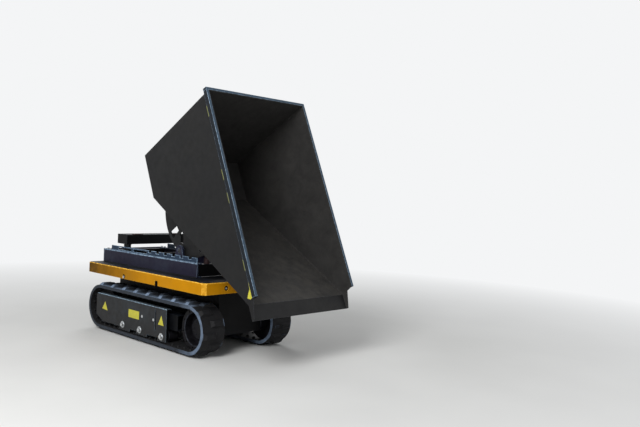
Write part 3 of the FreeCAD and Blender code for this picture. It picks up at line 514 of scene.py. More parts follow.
def track_rubber(colours):
    """Carbon-black moulded rubber: dull and pitted, with blue-grey dust and painted sky sheen on its top margin,
    and a painted highlight round the front bend.
    """
    material, tree, shader, where = new_finish("moulded_track_rubber")
    spot = node(tree, "SeparateXYZ", {0: where["Object"]}).outputs
    facing_up = node(tree, "SeparateXYZ", {0: where["Normal"]}).outputs["Z"]
    # Dust and a painted sky sheen lie on the outer margin of the top run's tread.
    belt_side, belt_top = max(abs(TRACK_LOW.y), abs(TRACK_HIGH.y)), 2 * WHEEL_Z
    outward = node(tree, "Math", {"operation": "ABSOLUTE", 0: spot["Y"]}).outputs[0]
    margin = node(tree, "MapRange", {"Value": outward, "From Min": belt_side - 0.05,
                                     "From Max": belt_side - 0.015, "To Min": 0.16,
                                     "To Max": 1.05}).outputs[0]
    tread_top = node(tree, "MapRange", {"Value": spot["Z"], "From Min": belt_top - 0.02,
                                        "From Max": belt_top - 0.014}).outputs[0]
    flat = node(tree, "MapRange", {"Value": facing_up, "From Min": 0.3, "From Max": 0.7}).outputs[0]
    tops = product(tree, flat, tread_top, margin)
    # The flanks are pale with wear, palest round the front bend, where the paleness is a painted highlight.
    bend = MIDDLE_X + WHEEL_REACH
    bend_glint = node(tree, "MapRange", {"Value": spot["X"], "From Min": bend - 0.1, "From Max": bend + 0.06,
                                     "To Min": 0.42, "To Max": 2.7}).outputs[0]
    edge = node(tree, "Attribute", {"attribute_name": "edge"}).outputs["Fac"]
    flanks = product(tree, edge, bend_glint)
    patches = blotches(tree, where, size=45, detail=6, fine=0.7, low=0.3, high=0.6, least=0.45)
    either = node(tree, "Math", {"operation": "MAXIMUM", 0: tops, 1: flanks}).outputs[0]
    colour = layered(tree, colours.rubber, (product(tree, either, patches), linear("#7F92AB")))
    rough = node(tree, "MapRange", {"Value": patches, "To Min": 0.55, "To Max": 0.8}).outputs[0]
    feed(tree, shader, {"Base Color": colour, "Roughness": rough, "Specular IOR Level": 0.3})
    grained(tree, where, shader, size=6, detail=5, fine=0.65, strength=0.5, depth=0.5)
    return material


def buffer_rubber():
    """Dark red-brown moulded rubber: soft sheen, slightly mottled."""
    material, tree, shader, where = new_finish("moulded_buffer_rubber")
    mottle = blotches(tree, where, size=14, detail=3, low=0.35, high=0.65)
    two_toned(tree, shader, mottle, (linear("#2A1A1C"), linear("#3A2224")), roughness=(0.55, 0.7))
    grained(tree, where, shader, size=3, strength=0.3, depth=0.15)
    return material


def wheel_iron():
    """Cast iron under thin black paint, near-black so that it also paints the shade in the wheels' hollows:
    grainy, a little purplish where dust is ground in, with paler worn edges that are partly painted highlight.
    """
    material, tree, shader, where = new_finish("painted_cast_iron")
    ground_in = blotches(tree, where, size=30, detail=6, fine=0.7, low=0.35, high=0.7)
    colour = layered(tree, linear("#09090B"), (ground_in, linear("#131217")),
                     (edge_wear_and_sheen(tree, where, amount=0.8), linear("#3E424B")))
    rough = node(tree, "MapRange", {"Value": ground_in, "To Min": 0.45, "To Max": 0.75}).outputs[0]
    feed(tree, shader, {"Base Color": colour, "Roughness": rough, "Specular IOR Level": 0.15})
    grained(tree, where, shader, size=3.5, detail=4, fine=0.6, strength=0.45, depth=0.3)
    return material


def zinc_plate():
    """Bright zinc plating on bolts: pale bluish metal with a faint crystalline bloom."""
    material, tree, shader, where = new_finish("bright_zinc_plate")
    bloom = blotches(tree, where, size=7, detail=4, fine=0.6, low=0.35, high=0.65)
    two_toned(tree, shader, bloom, (linear("#B4B8BC"), linear("#DADCDD")), roughness=(0.28, 0.42))
    feed(tree, shader, {"Metallic": 0.85})
    return material


def turned_steel():
    """Bare turned steel under old grease: a dark film with dull grey where it has rubbed through."""
    material, tree, shader, where = new_finish("turned_steel")
    grease = blotches(tree, where, size=20, detail=4, low=0.4, high=0.65)
    two_toned(tree, shader, grease, (linear("#54565A"), linear("#1E1C1A")), roughness=(0.3, 0.5))
    feed(tree, shader, {"Metallic": 0.8})
    return material


def patch_vinyl(name, colour, faded_colour):
    """Printed vinyl with nothing on it: even yellow-green, faded in patches."""
    material, tree, shader, where = new_finish(name)
    faded = blotches(tree, where, size=22, detail=4, low=0.35, high=0.7)
    most_faded = 0.35
    colour = layered(tree, colour, (product(tree, faded, most_faded), faded_colour))
    rough = node(tree, "MapRange", {"Value": faded, "To Min": 0.35, "To Max": 0.5}).outputs[0]
    feed(tree, shader, {"Base Color": colour, "Roughness": rough})
    return material


def battery_plastic():
    """Matt black moulded plastic of the battery case and the beam's plugs, also the painted shade in the bolt
    sockets: a fine spark texture.
    """
    material, tree, shader, where = new_finish("matt_battery_plastic")
    tone = blotches(tree, where, size=90, detail=3, low=0.3, high=0.7)
    colour = layered(tree, linear("#0D0D0F"), (tone, linear("#161618")))
    feed(tree, shader, {"Base Color": colour, "Roughness": 0.6, "Specular IOR Level": 0.15})
    grained(tree, where, shader, size=1.5, strength=0.4, depth=0.1)
    return material


def finish(name):
    """The finish of that name, made the first time that it is asked for."""
    colours = bpy.context.scene.dumper_colours
    makers = {
        "yellow_powder_coat": lambda: yellow_coat(colours),
        "black_satin_powder_coat": lambda: skip_coat(colours),
        "black_frame_paint": lambda: frame_coat(colours),
        "charcoal_structure_paint": lambda: cover_coat(colours),
        "black_enamel_and_painted_shade": black_enamel,
        "dark_enamel_with_sky_sheen": strip_coat,
        "rim_paint_with_sky_sheen": rim_coat,
        "moulded_track_rubber": lambda: track_rubber(colours),
        "moulded_buffer_rubber": buffer_rubber,
        "painted_cast_iron": wheel_iron,
        "bright_zinc_plate": zinc_plate,
        "turned_steel": turned_steel,
        "blank_yellow_vinyl": lambda: patch_vinyl("blank_yellow_vinyl", colours.patch, linear("#A59F47")),
        "faded_yellow_vinyl": lambda: patch_vinyl("faded_yellow_vinyl", linear("#7A7C3C"), linear("#5E5B3E")),
        "matt_battery_plastic": battery_plastic,
    }
    return bpy.data.materials.get(name) or makers[name]()


SLOT_FINISH = {
    "yellow_paint": "yellow_powder_coat", "skip_paint": "black_satin_powder_coat",
    "frame_paint": "black_frame_paint", "cover_paint": "charcoal_structure_paint",
    "track_rubber": "moulded_track_rubber", "buffer_rubber": "moulded_buffer_rubber",
    "wheel_iron": "painted_cast_iron", "bare_steel": "turned_steel", "battery_case": "matt_battery_plastic",
}


# Operators

class DUMPER_OT_stage(bpy.types.Operator):
    """Set a pale floor, soft lamps and a camera where the machine was photographed from"""

    bl_idname = "dumper.stage"
    bl_label = "Stage"

    def execute(self, context):
        scene = context.scene
        scene.view_settings.view_transform = "Standard"
        self.floor(scene)
        self.light(scene)
        self.camera(scene)
        return {"FINISHED"}

    def floor(self, scene):
        # All in metres: the floor's half width, and how far from the middle it starts and ends to fade.
        half_width, fade_start, fade_end = 40, 1.6, 5.0
        shape = bmesh.new()
        bmesh.ops.create_grid(shape, x_segments=1, y_segments=1, size=half_width)
        mesh = bpy.data.meshes.new("floor")
        shape.to_mesh(mesh)
        shape.free()
        material, tree, shader, where = new_finish("pale_floor")
        grain = blotches(tree, where, size=900, detail=3, low=0.3, high=0.7)
        colour = layered(tree, linear("#DEDEDC"), (grain, linear("#E4E4E2")))
        feed(tree, shader, {"Base Color": colour, "Roughness": 0.9, "Specular IOR Level": 0.0})
        # Away from the machine the floor runs into the backdrop, so that no horizon shows.
        reach = node(tree, "VectorMath", {"operation": "LENGTH", 0: where["Object"]}).outputs["Value"]
        faded = node(tree, "MapRange", {"Value": reach, "From Min": fade_start, "From Max": fade_end})
        away = product(tree, faded.outputs[0], node(tree, "LightPath").outputs["Is Camera Ray"])
        glow = node(tree, "Emission", {"Color": linear(BACKDROP)})
        blend = node(tree, "MixShader", {0: away, 1: shader.outputs[0], 2: glow.outputs[0]})
        feed(tree, tree.get_output_node("ALL"), {"Surface": blend.outputs[0]})
        mesh.materials.append(material)
        floor = bpy.data.objects.new("floor", mesh)
        scene.collection.objects.link(floor)

    def light(self, scene):
        room_strength, backdrop_strength = 0.42, 1.0
        world = bpy.data.worlds.new("pale_room")
        world.use_nodes = True
        tree = world.node_tree
        tree.nodes.clear()
        path = node(tree, "LightPath").outputs
        seen = path["Is Camera Ray"]
        for ray in ("Is Glossy Ray", "Is Transmission Ray"):
            seen = node(tree, "Math", {"operation": "MAXIMUM", 0: seen, 1: path[ray]}).outputs[0]
        room = node(tree, "Background", {"Color": linear("#F2F4F6"), "Strength": room_strength})
        backdrop = node(tree, "Background", {"Color": linear(BACKDROP), "Strength": backdrop_strength})
        blend = node(tree, "MixShader", {0: seen, 1: room.outputs[0], 2: backdrop.outputs[0]})
        node(tree, "OutputWorld", {"Surface": blend.outputs[0]})
        scene.world = world
        lamps = (
            # name, place in metres, width in metres, watts
            ("key_lamp", (2.2, -3.9, 3.4), 2.2, 205),
            ("fill_lamp", (5.2, 1.2, 2.6), 3.0, 20),
            ("back_lamp", (-3.6, 2.4, 3.8), 2.6, 60),
        )
        aim = Vector((0, 0, 0.6))
        for name, place, width, power in lamps:
            lamp = bpy.data.lights.new(name, "AREA")
            lamp.shape = "SQUARE"
            lamp.size = width
            lamp.energy = power
            holder = bpy.data.objects.new(name, lamp)
            holder.location = place
            holder.rotation_euler = (aim - Vector(place)).to_track_quat("-Z", "Y").to_euler()
            scene.collection.objects.link(holder)

    def camera(self, scene):
        place = Vector((3.5591, -2.7504, 0.9790))
        focal_pixels, picture_pixels, sensor = 689.53, 640, 36
        azimuth, height, roll = (math.radians(angle) for angle in (43.306, 1.506, 2.458))
        back = Vector((math.sin(azimuth) * math.cos(height), -math.cos(azimuth) * math.cos(height),
                       math.sin(height)))
        level_right = Vector((math.cos(azimuth), math.sin(azimuth), 0))
        level_up = back.cross(level_right)
        right = math.cos(roll) * level_right + math.sin(roll) * level_up
        up = math.cos(roll) * level_up - math.sin(roll) * level_right
        lens = bpy.data.cameras.new("camera")
        lens.sensor_width = sensor
        lens.lens = focal_pixels / picture_pixels * sensor
        camera = bpy.data.objects.new("camera", lens)
        turn = Matrix((right, up, back)).transposed().to_4x4()
        camera.matrix_world = Matrix.Translation(place) @ turn
        scene.collection.objects.link(camera)
        scene.camera = camera


class DUMPER_OT_solids(bpy.types.Operator):
    """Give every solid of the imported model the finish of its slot"""

    bl_idname = "dumper.solids"
    bl_label = "Plain solids"

    def execute(self, context):
        for part in frame["record"]["subparts"]:
            materials = NODES[part["node"]].data.materials
            materials.clear()
            materials.append(finish(SLOT_FINISH[part["material_slot"]]))
        return {"FINISHED"}


class DUMPER_OT_platform(bpy.types.Operator):
    """Bend the yellow skirt round the deck, with its slots, keyholes and lashing eyes"""

    bl_idname = "dumper.platform"
    bl_label = "Platform"

    # Millimetres. The keyholes are round above their necks, and the lashing eyes are in the skirt's ends.
    plate, corner_cut, past = 6, 20, 20
    slot_rear, slot_front, slot_rise = 152, 187, 30
    keyhole_x, keyhole_rise, keyhole_radius, neck = -205, 16, 16, 8
    eye_y, eye_drop, eye_radius = 190, 37, 15

    def execute(self, context):
        skirt = self.opened(self.folded())
        finish_piece("platform_skirt", skirt, CARRIER, "yellow_paint",
                     stands_for=["skirt_front", "skirt_rear", "skirt_left", "skirt_right"])
        # The deck's near-black also paints the shade under the skip.
        soften(["deck_plate"], "platform_deck", 0.8 * MM, CARRIER, "frame_paint", "black_enamel_and_painted_shade")
        self.bolts_behind()
        return {"FINISHED"}

    def reach(self):
        """The skirt's front lower and upper corner, its rear lower corner and its side."""
        low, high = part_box("skirt_front")
        return low, high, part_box("skirt_rear")[0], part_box("skirt_left")[1].y

    def folded(self):
        """The bare ring of plate with its four cut corners."""
        low, high, rear, side = self.reach()
        plate, cut = self.plate * MM, self.corner_cut * MM

        def ring(inset, corner, z):
            half = side - inset
            left = []
            for x, sign in ((high.x - inset, 1), (rear.x + inset, -1)):
                left += [(x, half - corner), (x - sign * corner, half)]
            front_end, front_side, rear_end, rear_side = left
            left = [front_end, front_side, rear_side, rear_end]
            right = [(x, -y) for x, y in reversed(left)]
            return [Vector((x, y, z)) for x, y in left + right]

        skirt = bmesh.new()
        rise = Vector((0, 0, high.z - low.z))
        prism(skirt, ring(0, cut, low.z), rise)
        tools = bmesh.new()
        inner_cut = cut - plate * (math.sqrt(2) - 1)
        prism(tools, ring(plate, inner_cut, low.z - plate), rise + Vector((0, 0, 2 * plate)))
        return carved(skirt, tools)

    def opened(self, skirt):
        """The ring with its openings cut, its top bent and its edges worn."""
        low, high, rear, side = self.reach()
        foot, below = low.z / MM, 10
        tools = bmesh.new()
        for sign in SIDES.values():
            y_low, y_high = sorted((sign * (side / MM - self.past), sign * (side / MM + self.past)))
            for x_low, x_high, rise in (
                    (self.slot_rear, self.slot_front, self.slot_rise),
                    (self.keyhole_x - self.neck, self.keyhole_x + self.neck, self.keyhole_rise)):
                block(tools, (x_low, y_low, foot - below), (x_high, y_high, foot + rise), CARRIER_PLACE)
        skirt = carved(skirt, tools)
        tools = bmesh.new()
        through = 2 * self.past * MM
        for sign in SIDES.values():
            hole = placed(CARRIER_PLACE, self.keyhole_x, sign * side / MM, foot + self.keyhole_rise)
            cylinder(tools, hole, (0, 1, 0), self.keyhole_radius * MM, through)
            for x in (high.x, rear.x):
                eye = Vector((x, sign * self.eye_y * MM, high.z - self.eye_drop * MM))
                cylinder(tools, eye, (1, 0, 0), self.eye_radius * MM, through, 40)
        skirt = carved(skirt, tools)

        def at_the_top(one, other):
            return min(one.z, other.z) > high.z - MM and all(
                abs(end.y) > side - MM or end.x > high.x - MM or end.x < rear.x + MM for end in (one, other))

        # The skirt is folded down from the platform, so its top edge is a bend and not a cut.
        rounded(skirt, 5 * MM, segments=4, chosen=at_the_top)
        rounded(skirt, 1.2 * MM)
        # The cut corners are marked as worn, which turns their coat paler: a painted highlight on the corners.
        chamfer_highlight, slanting = 0.5, 0.5
        worn = skirt.faces.layers.float["edge"]
        for face in skirt.faces:
            if abs(face.normal.x) > slanting and abs(face.normal.y) > slanting:
                face[worn] = max(face[worn], chamfer_highlight)
        return skirt

    def bolts_behind(self):
        """Washers behind the openings, near-black to paint the shade in them, and the bolts that show in them."""
        low, high, rear, side = self.reach()
        plate = self.plate * MM
        thick, half_thick = 4 * MM, 2 * MM
        keyhole_washer, keyhole_head, head_height, head_off = 20 * MM, 9 * MM, 5 * MM, (-6, 2.5, -5)
        eye_washer, eye_head = 18 * MM, 6.5 * MM
        bolts = bmesh.new()
        shade_washers = bmesh.new()
        for sign in SIDES.values():
            out = Vector((0, sign, 0))
            inner = sign * (side - plate)
            spot = placed(CARRIER_PLACE, self.keyhole_x, inner / MM, low.z / MM + self.keyhole_rise)
            cylinder(shade_washers, spot - out * half_thick, out, keyhole_washer, thick)
            head = spot + Vector((head_off[0], sign * head_off[1], head_off[2])) * MM
            cylinder(bolts, head, out, keyhole_head, head_height)
            for x, ahead in ((high.x, 1), (rear.x, -1)):
                out = Vector((ahead, 0, 0))
                spot = Vector((x - ahead * plate, sign * self.eye_y * MM, high.z - self.eye_drop * MM))
                cylinder(shade_washers, spot - out * half_thick, out, eye_washer, thick)
                cylinder(bolts, spot + out * half_thick, out, eye_head, thick, 24)
        # The washers' near-black paints the shade inside the keyholes and eyes.
        finish_piece("keyhole_washers_as_shade", rounded(shade_washers, 0.5 * MM), CARRIER, "frame_paint",
                     "black_enamel_and_painted_shade")
        finish_piece("keyhole_bolts", rounded(bolts, 1.2 * MM), CARRIER, "bare_steel",
                     "bright_zinc_plate")


class DUMPER_OT_subframe(bpy.types.Operator):
    """Weld the rails, members, rest beam and slotted strips on the deck"""

    bl_idname = "dumper.subframe"
    bl_label = "Sub-frame"

    def execute(self, context):
        sizes = context.scene.dumper_sizes
        edge = sizes.edge
        self.rails(edge, sizes.weld)
        soften(["rear_plate"], "rear_end_plate", edge, CARRIER, "frame_paint")
        # The strips' blue tint and pale edges are painted sky reflection.
        soften(["rail_strips"], "slotted_strips", 2.5 * edge, CARRIER, "frame_paint",
               "dark_enamel_with_sky_sheen")
        self.rest_beam(edge, sizes.weld * 0.8)
        soften(["rest_pads"], "rest_pads_moulded", edge, CARRIER, "buffer_rubber")
        soften(["front_buffers"], "front_buffers_moulded", 3 * edge, CARRIER, "buffer_rubber")
        self.pivot_lugs(edge, sizes.weld)
        self.rail_end_bolts(sizes.bolt)
        soften(["pivot_shaft"], "pivot_shaft_turned", edge, CARRIER, "bare_steel")
        return {"FINISHED"}

    def rails(self, edge, weld):
        """The rails, whose top outer corners are bends because they are folded, and the members."""
        bend, long_run = 7 * MM, 0.5
        beads = bmesh.new()
        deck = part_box("deck_plate")[1].z
        low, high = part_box("rail_left")
        for sign in SIDES.values():
            for y in (sign * high.y, sign * low.y):
                bead_along(beads, low, high, y, deck, weld)
        # The rails' top bends are marked worn, so the pale line along them is a painted highlight as well as wear.
        soften(["rail_left", "rail_right"], "rails", edge, CARRIER, "frame_paint",
               bends=(bend, top_outer_corners(high, long_run)))
        soften(["cross_front", "cross_middle_member", "cross_rear"], "cross_members", 2 * edge, CARRIER,
               "frame_paint", "black_enamel_and_painted_shade", beads)

    def rest_beam(self, edge, weld):
        """The dark beam at the rear on its welded posts, with a plug in each end."""
        post_inner, plug_inset, plug_depth, plug_sunk = 206 * MM, 5, 12, 1
        beads = bmesh.new()
        plugs = bmesh.new()
        low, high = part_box("rest_posts")
        beam_low, beam_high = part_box("rest_beam")
        for sign in SIDES.values():
            for y in (high.y, post_inner):
                bead_along(beads, low, high, sign * y, beam_low.z, weld)
            bead_along(beads, low, high, sign * post_inner, low.z, weld)
            for x in (low.x, high.x):
                for z in (low.z, beam_low.z):
                    bead(beads, Vector((x, sign * post_inner, z)), Vector((x, sign * high.y, z)), weld)
            end = beam_high.y / MM
            y_low, y_high = sorted((sign * (end - plug_depth), sign * (end - plug_sunk)))
            block(plugs, (beam_low.x / MM + plug_inset, y_low, beam_low.z / MM + plug_inset),
                  (beam_high.x / MM - plug_inset, y_high, beam_high.z / MM - plug_inset))
        soften(["rest_beam", "rest_posts"], "rest_beam_and_posts", 2 * edge, CARRIER, "frame_paint",
               "black_enamel_and_painted_shade", beads)
        finish_piece("rest_beam_plugs", rounded(plugs, 1.5 * MM), CARRIER, "battery_case")

    def pivot_lugs(self, edge, weld):
        """The lugs that carry the shaft, welded along both faces."""
        lug_plate = 14 * MM
        beads = bmesh.new()
        low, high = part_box("pivot_lugs")
        for sign in SIDES.values():
            for y in (sign * high.y, sign * (high.y - lug_plate)):
                bead_along(beads, low, high, y, low.z, weld)
        soften(["pivot_lugs"], "pivot_lugs_welded", edge, CARRIER, "frame_paint", extra=beads)

    def rail_end_bolts(self, size):
        """Two bolts on the rear end of each rail."""
        from_middle, rail_y = (-640, -602), 222
        bolts = bmesh.new()
        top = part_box("rail_left")[1].z / MM
        for sign in SIDES.values():
            for x in from_middle:
                bolt(bolts, placed(CARRIER_PLACE, x, sign * rail_y, top), (0, 0, 1), size)
        finish_piece("rail_end_bolts", rounded(bolts, 0.6 * MM), CARRIER, "bare_steel",
                     "bright_zinc_plate")


def round_the_loop(radius, count):
    """Evenly spaced frames round a track's loop: their places along it, each turned with the belt."""
    straight, bend = 2 * WHEEL_REACH, math.pi * radius
    for index in range(count):
        along = index * 2 * (straight + bend) / count
        if along < straight:
            x, turn = along - WHEEL_REACH, 0.0
        elif along < straight + bend:
            x, turn = WHEEL_REACH, (along - straight) / radius
        elif along < 2 * straight + bend:
            x, turn = WHEEL_REACH - (along - straight - bend), math.pi
        else:
            x, turn = -WHEEL_REACH, math.pi + (along - 2 * straight - bend) / radius
        yield Matrix.Translation((MIDDLE_X + x, 0, WHEEL_Z)) @ Matrix.Rotation(turn, 4, "Y")


class DUMPER_OT_tracks(bpy.types.Operator):
    """Mould the rubber tracks: rounded and grooved lugs, tie bars between them and guide horns inside"""

    bl_idname = "dumper.tracks"
    bl_label = "Tracks"

    belt_outer = WHEEL_Z - 15 * MM
    belt_inner = WHEEL_Z - 35 * MM

    def execute(self, context):
        for name, sign in SIDES.items():
            trim, grooves = self.bars_and_grooves(sign)
            rounded(trim, 2 * MM)
            join(trim, self.horns(sign))
            tread = rounded(solid_of("track_" + name), context.scene.dumper_sizes.tread_edge)
            tread = carved(tread, grooves)
            join(tread, trim)
            self.rub(tread)
            finish_piece("rubber_track_" + name, tread, CARRIER, "track_rubber",
                         stands_for=["track_" + name])
        return {"FINISHED"}

    def bars_and_grooves(self, sign):
        """Tie bars between the lugs and tools for the lugs' grooves.

        A lug reaches in from one edge, and a tie bar from beyond its end to near the other.
        """
        lugs = 42
        margin, bar_reach, groove_reach = 20, 54, 84
        bar_half, bar_rise, groove_half, groove_rise = 7, (-4, 5), 3.5, (12, 20)
        low, high = ((BELT_Y + half * (TRACK_HIGH.y - TRACK_LOW.y) / 2) / MM for half in (-1, 1))
        top = self.belt_outer / MM
        trim = bmesh.new()
        grooves = bmesh.new()
        for index, loop in enumerate(round_the_loop(self.belt_outer, lugs)):
            if index % 2 == (sign > 0):
                bar, groove = (high - bar_reach, high - margin), (low + margin, low + groove_reach)
            else:
                bar, groove = (low + margin, low + bar_reach), (high - groove_reach, high - margin)
            for span, shape, half, rise in ((bar, trim, bar_half, bar_rise),
                                            (groove, grooves, groove_half, groove_rise)):
                y_low, y_high = sorted(sign * y for y in span)
                block(shape, (-half, y_low, top + rise[0]), (half, y_high, top + rise[1]), loop)
        return trim, grooves

    def horns(self, sign):
        """Two rows of tapered guide horns on the belt's inside."""
        count, row, foot, tip, height, sunk = 46, 50 * MM, 12 * MM, 6 * MM, 14 * MM, 5 * MM
        shape = bmesh.new()
        inwards = Matrix.Rotation(math.pi, 4, "Y") @ Matrix.Rotation(math.pi / 4, 4, "Z")
        for loop in round_the_loop(self.belt_inner, count):
            for side in (-row, row):
                spot = Matrix.Translation((0, sign * BELT_Y + side, self.belt_inner - sunk))
                bmesh.ops.create_cone(
                    shape, cap_ends=True, cap_tris=False, segments=4, radius1=foot, radius2=tip,
                    depth=height, matrix=loop @ spot @ inwards)
        return shape

    def rub(self, tread):
        """Mark pale only the belt's flanks and their shoulders, not the lugs' own edges: wear with a painted
        highlight, brightest on the shoulders.
        """
        flank, proud = 4 * MM, 3 * MM
        shoulder_wear_and_glint, flank_wear_and_sheen, lug_wear = 1.0, 0.24, 0.08
        worn = tread.faces.layers.float["edge"]
        for face in tread.faces:
            spot = face.calc_center_median()
            from_flank = (TRACK_HIGH.y - TRACK_LOW.y) / 2 - abs(abs(spot.y) - BELT_Y)
            out = math.hypot(max(abs(spot.x - MIDDLE_X) - WHEEL_REACH, 0), spot.z - WHEEL_Z)
            if from_flank < flank and out < self.belt_outer + proud:
                face[worn] = shoulder_wear_and_glint if face[worn] else flank_wear_and_sheen
            else:
                face[worn] = lug_wear * face[worn]


def round_the_wheel(centre_x, y, radius, count, first=0):
    """Evenly spaced spots on a circle round a wheel's axis, the first one at an angle in degrees."""
    for step in range(count):
        turn = math.radians(360 / count * step + first)
        yield Vector((centre_x + radius * math.cos(turn), y, WHEEL_Z + radius * math.sin(turn)))


class DUMPER_OT_running_gear(bpy.types.Operator):
    """Cast the drive wheels with their holes, and dress the motors, idlers, rollers and beams"""

    bl_idname = "dumper.running_gear"
    bl_label = "Running gear"

    def execute(self, context):
        edge = context.scene.dumper_sizes.edge
        # This near-black also paints the shade on the beams, arms and belly box in the tracks.
        black = "black_enamel_and_painted_shade"
        self.wheels()
        soften(["idlers"], "idlers_cast", 2 * edge, CARRIER, "wheel_iron")
        soften(["rollers"], "rollers_turned", 2 * edge, CARRIER, "wheel_iron")
        self.motors(4 * edge)
        soften(["track_beam_left", "track_beam_right"], "track_beams", edge, CARRIER, "frame_paint", black)
        soften(["track_arms"], "track_arms_square", 2 * edge, CARRIER, "frame_paint", black)
        soften(["chassis_box"], "belly_box", edge, CARRIER, "frame_paint", black)
        return {"FINISHED"}

    def wheels(self):
        """Drive wheels with a ring of holes and a rounded lip round the hollow."""
        count, ring, hole, depth, first = 10, 110 * MM, 5 * MM, 24 * MM, 12
        rim, lip = 27 * MM, 4 * MM
        low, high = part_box("drive_wheels")
        centre_x, face = (low.x + high.x) / 2, high.y
        hollow = (high.x - low.x) / 2 - rim
        holes = bmesh.new()
        for sign in SIDES.values():
            for spot in round_the_wheel(centre_x, sign * face, ring, count, first):
                cylinder(holes, spot, (0, 1, 0), hole, depth, 14)
        wheels = carved(solid_of("drive_wheels"), holes)

        def at_the_hollow(one, other):
            return all(abs(end.y) > face - MM
                       and hollow - lip < math.hypot(end.x - centre_x, end.z - WHEEL_Z) < hollow
                       for end in (one, other))

        # The lip's worn mark turns it paler: wear with a painted highlight.
        rounded(wheels, lip, segments=3, chosen=at_the_hollow)
        finish_piece("drive_wheels_cast", wheels, CARRIER, "wheel_iron", stands_for=["drive_wheels"])

    def motors(self, edge):
        """Drive motors with a ring of bolts on the outside."""
        count, ring, size = 6, 42 * MM, 6 * MM
        low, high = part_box("drive_motors")
        centre_x = (low.x + high.x) / 2
        bolts = bmesh.new()
        for sign in SIDES.values():
            for spot in round_the_wheel(centre_x, sign * high.y, ring, count):
                bolt(bolts, spot, (0, sign, 0), size)
        soften(["drive_motors"], "drive_motors_cast", edge, CARRIER, "wheel_iron",
               extra=rounded(bolts, 0.4 * MM))


class DUMPER_OT_covers(bpy.types.Operator):
    """Hang the folded covers in the tracks, with their bolts and blank stickers"""

    bl_idname = "dumper.covers"
    bl_label = "Track covers"

    def execute(self, context):
        bend, long_run = 4.5 * MM, 0.3
        low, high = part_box("cover_left")
        # The covers' top bends are marked worn, so the pale blue line along them is a painted highlight as well as
        # wear.
        soften(["cover_left", "cover_right"], "folded_covers", 1.5 * context.scene.dumper_sizes.edge, CARRIER,
               "cover_paint", bends=(bend, top_outer_corners(high, long_run)))
        self.bolts(high.y / MM)
        self.stickers(high.y / MM)
        return {"FINISHED"}

    def bolts(self, face):
        """Three large socket bolts low on each cover and two small ones above them, with a near-black disc in each
        large socket as painted shade.
        """
        # Along and up, in millimetres from the tracks' middle and the ground.
        large, small, small_size = ((-218, 79), (-16, 76), (225, 73)), ((8, 166), (136, 163)), 8 * MM
        stacked = (
            # radius, how far it stands out, height
            (22, 1, 3),
            (19, 2.5, 4),
        )
        ahead, socket_radius, socket_out, socket_height = 5, 12, 9, 13
        shade_disc_radius, shade_disc_out, shade_disc_height = 12.5, 2.4, 1
        heads = bmesh.new()
        sockets = bmesh.new()
        socket_shade = bmesh.new()
        for sign in SIDES.values():
            out = (0, sign, 0)
            for x, z in large:
                for radius, stand, height in stacked:
                    spot = placed(CARRIER_PLACE, x, sign * (face + stand), z)
                    cylinder(heads, spot, out, radius * MM, height * MM, 40)
                spot = placed(CARRIER_PLACE, x + ahead, sign * (face + socket_out), z)
                cylinder(sockets, spot, out, socket_radius * MM, socket_height * MM, 24)
                # A near-black disc in each socket paints the shade in its hollow.
                spot = placed(CARRIER_PLACE, x + ahead, sign * (face + shade_disc_out), z)
                cylinder(socket_shade, spot, out, shade_disc_radius * MM, shade_disc_height * MM)
            for x, z in small:
                bolt(heads, placed(CARRIER_PLACE, x, sign * face, z), out, small_size)
        finish_piece("cover_bolts", rounded(carved(heads, sockets), 1.0 * MM), CARRIER, "bare_steel",
                     "bright_zinc_plate")
        finish_piece("socket_shade_discs", socket_shade, CARRIER, "battery_case")

    def stickers(self, face):
        """Two blank triangles and a blank plate on each cover."""
        outlines = (
            ((-447, 198), (-484, 147), (-415, 142)),
            ((221, 203), (189, 144), (248, 142)),
            ((-151, 139), (-27, 139), (-27, 190), (-151, 190)),
        )
        patches = bmesh.new()
        for sign in SIDES.values():
            for outline in outlines:
                sticker(patches, CARRIER_PLACE, outline, sign * face, sign)
        finish_piece("blank_stickers", patches, CARRIER, "cover_paint", "blank_yellow_vinyl")


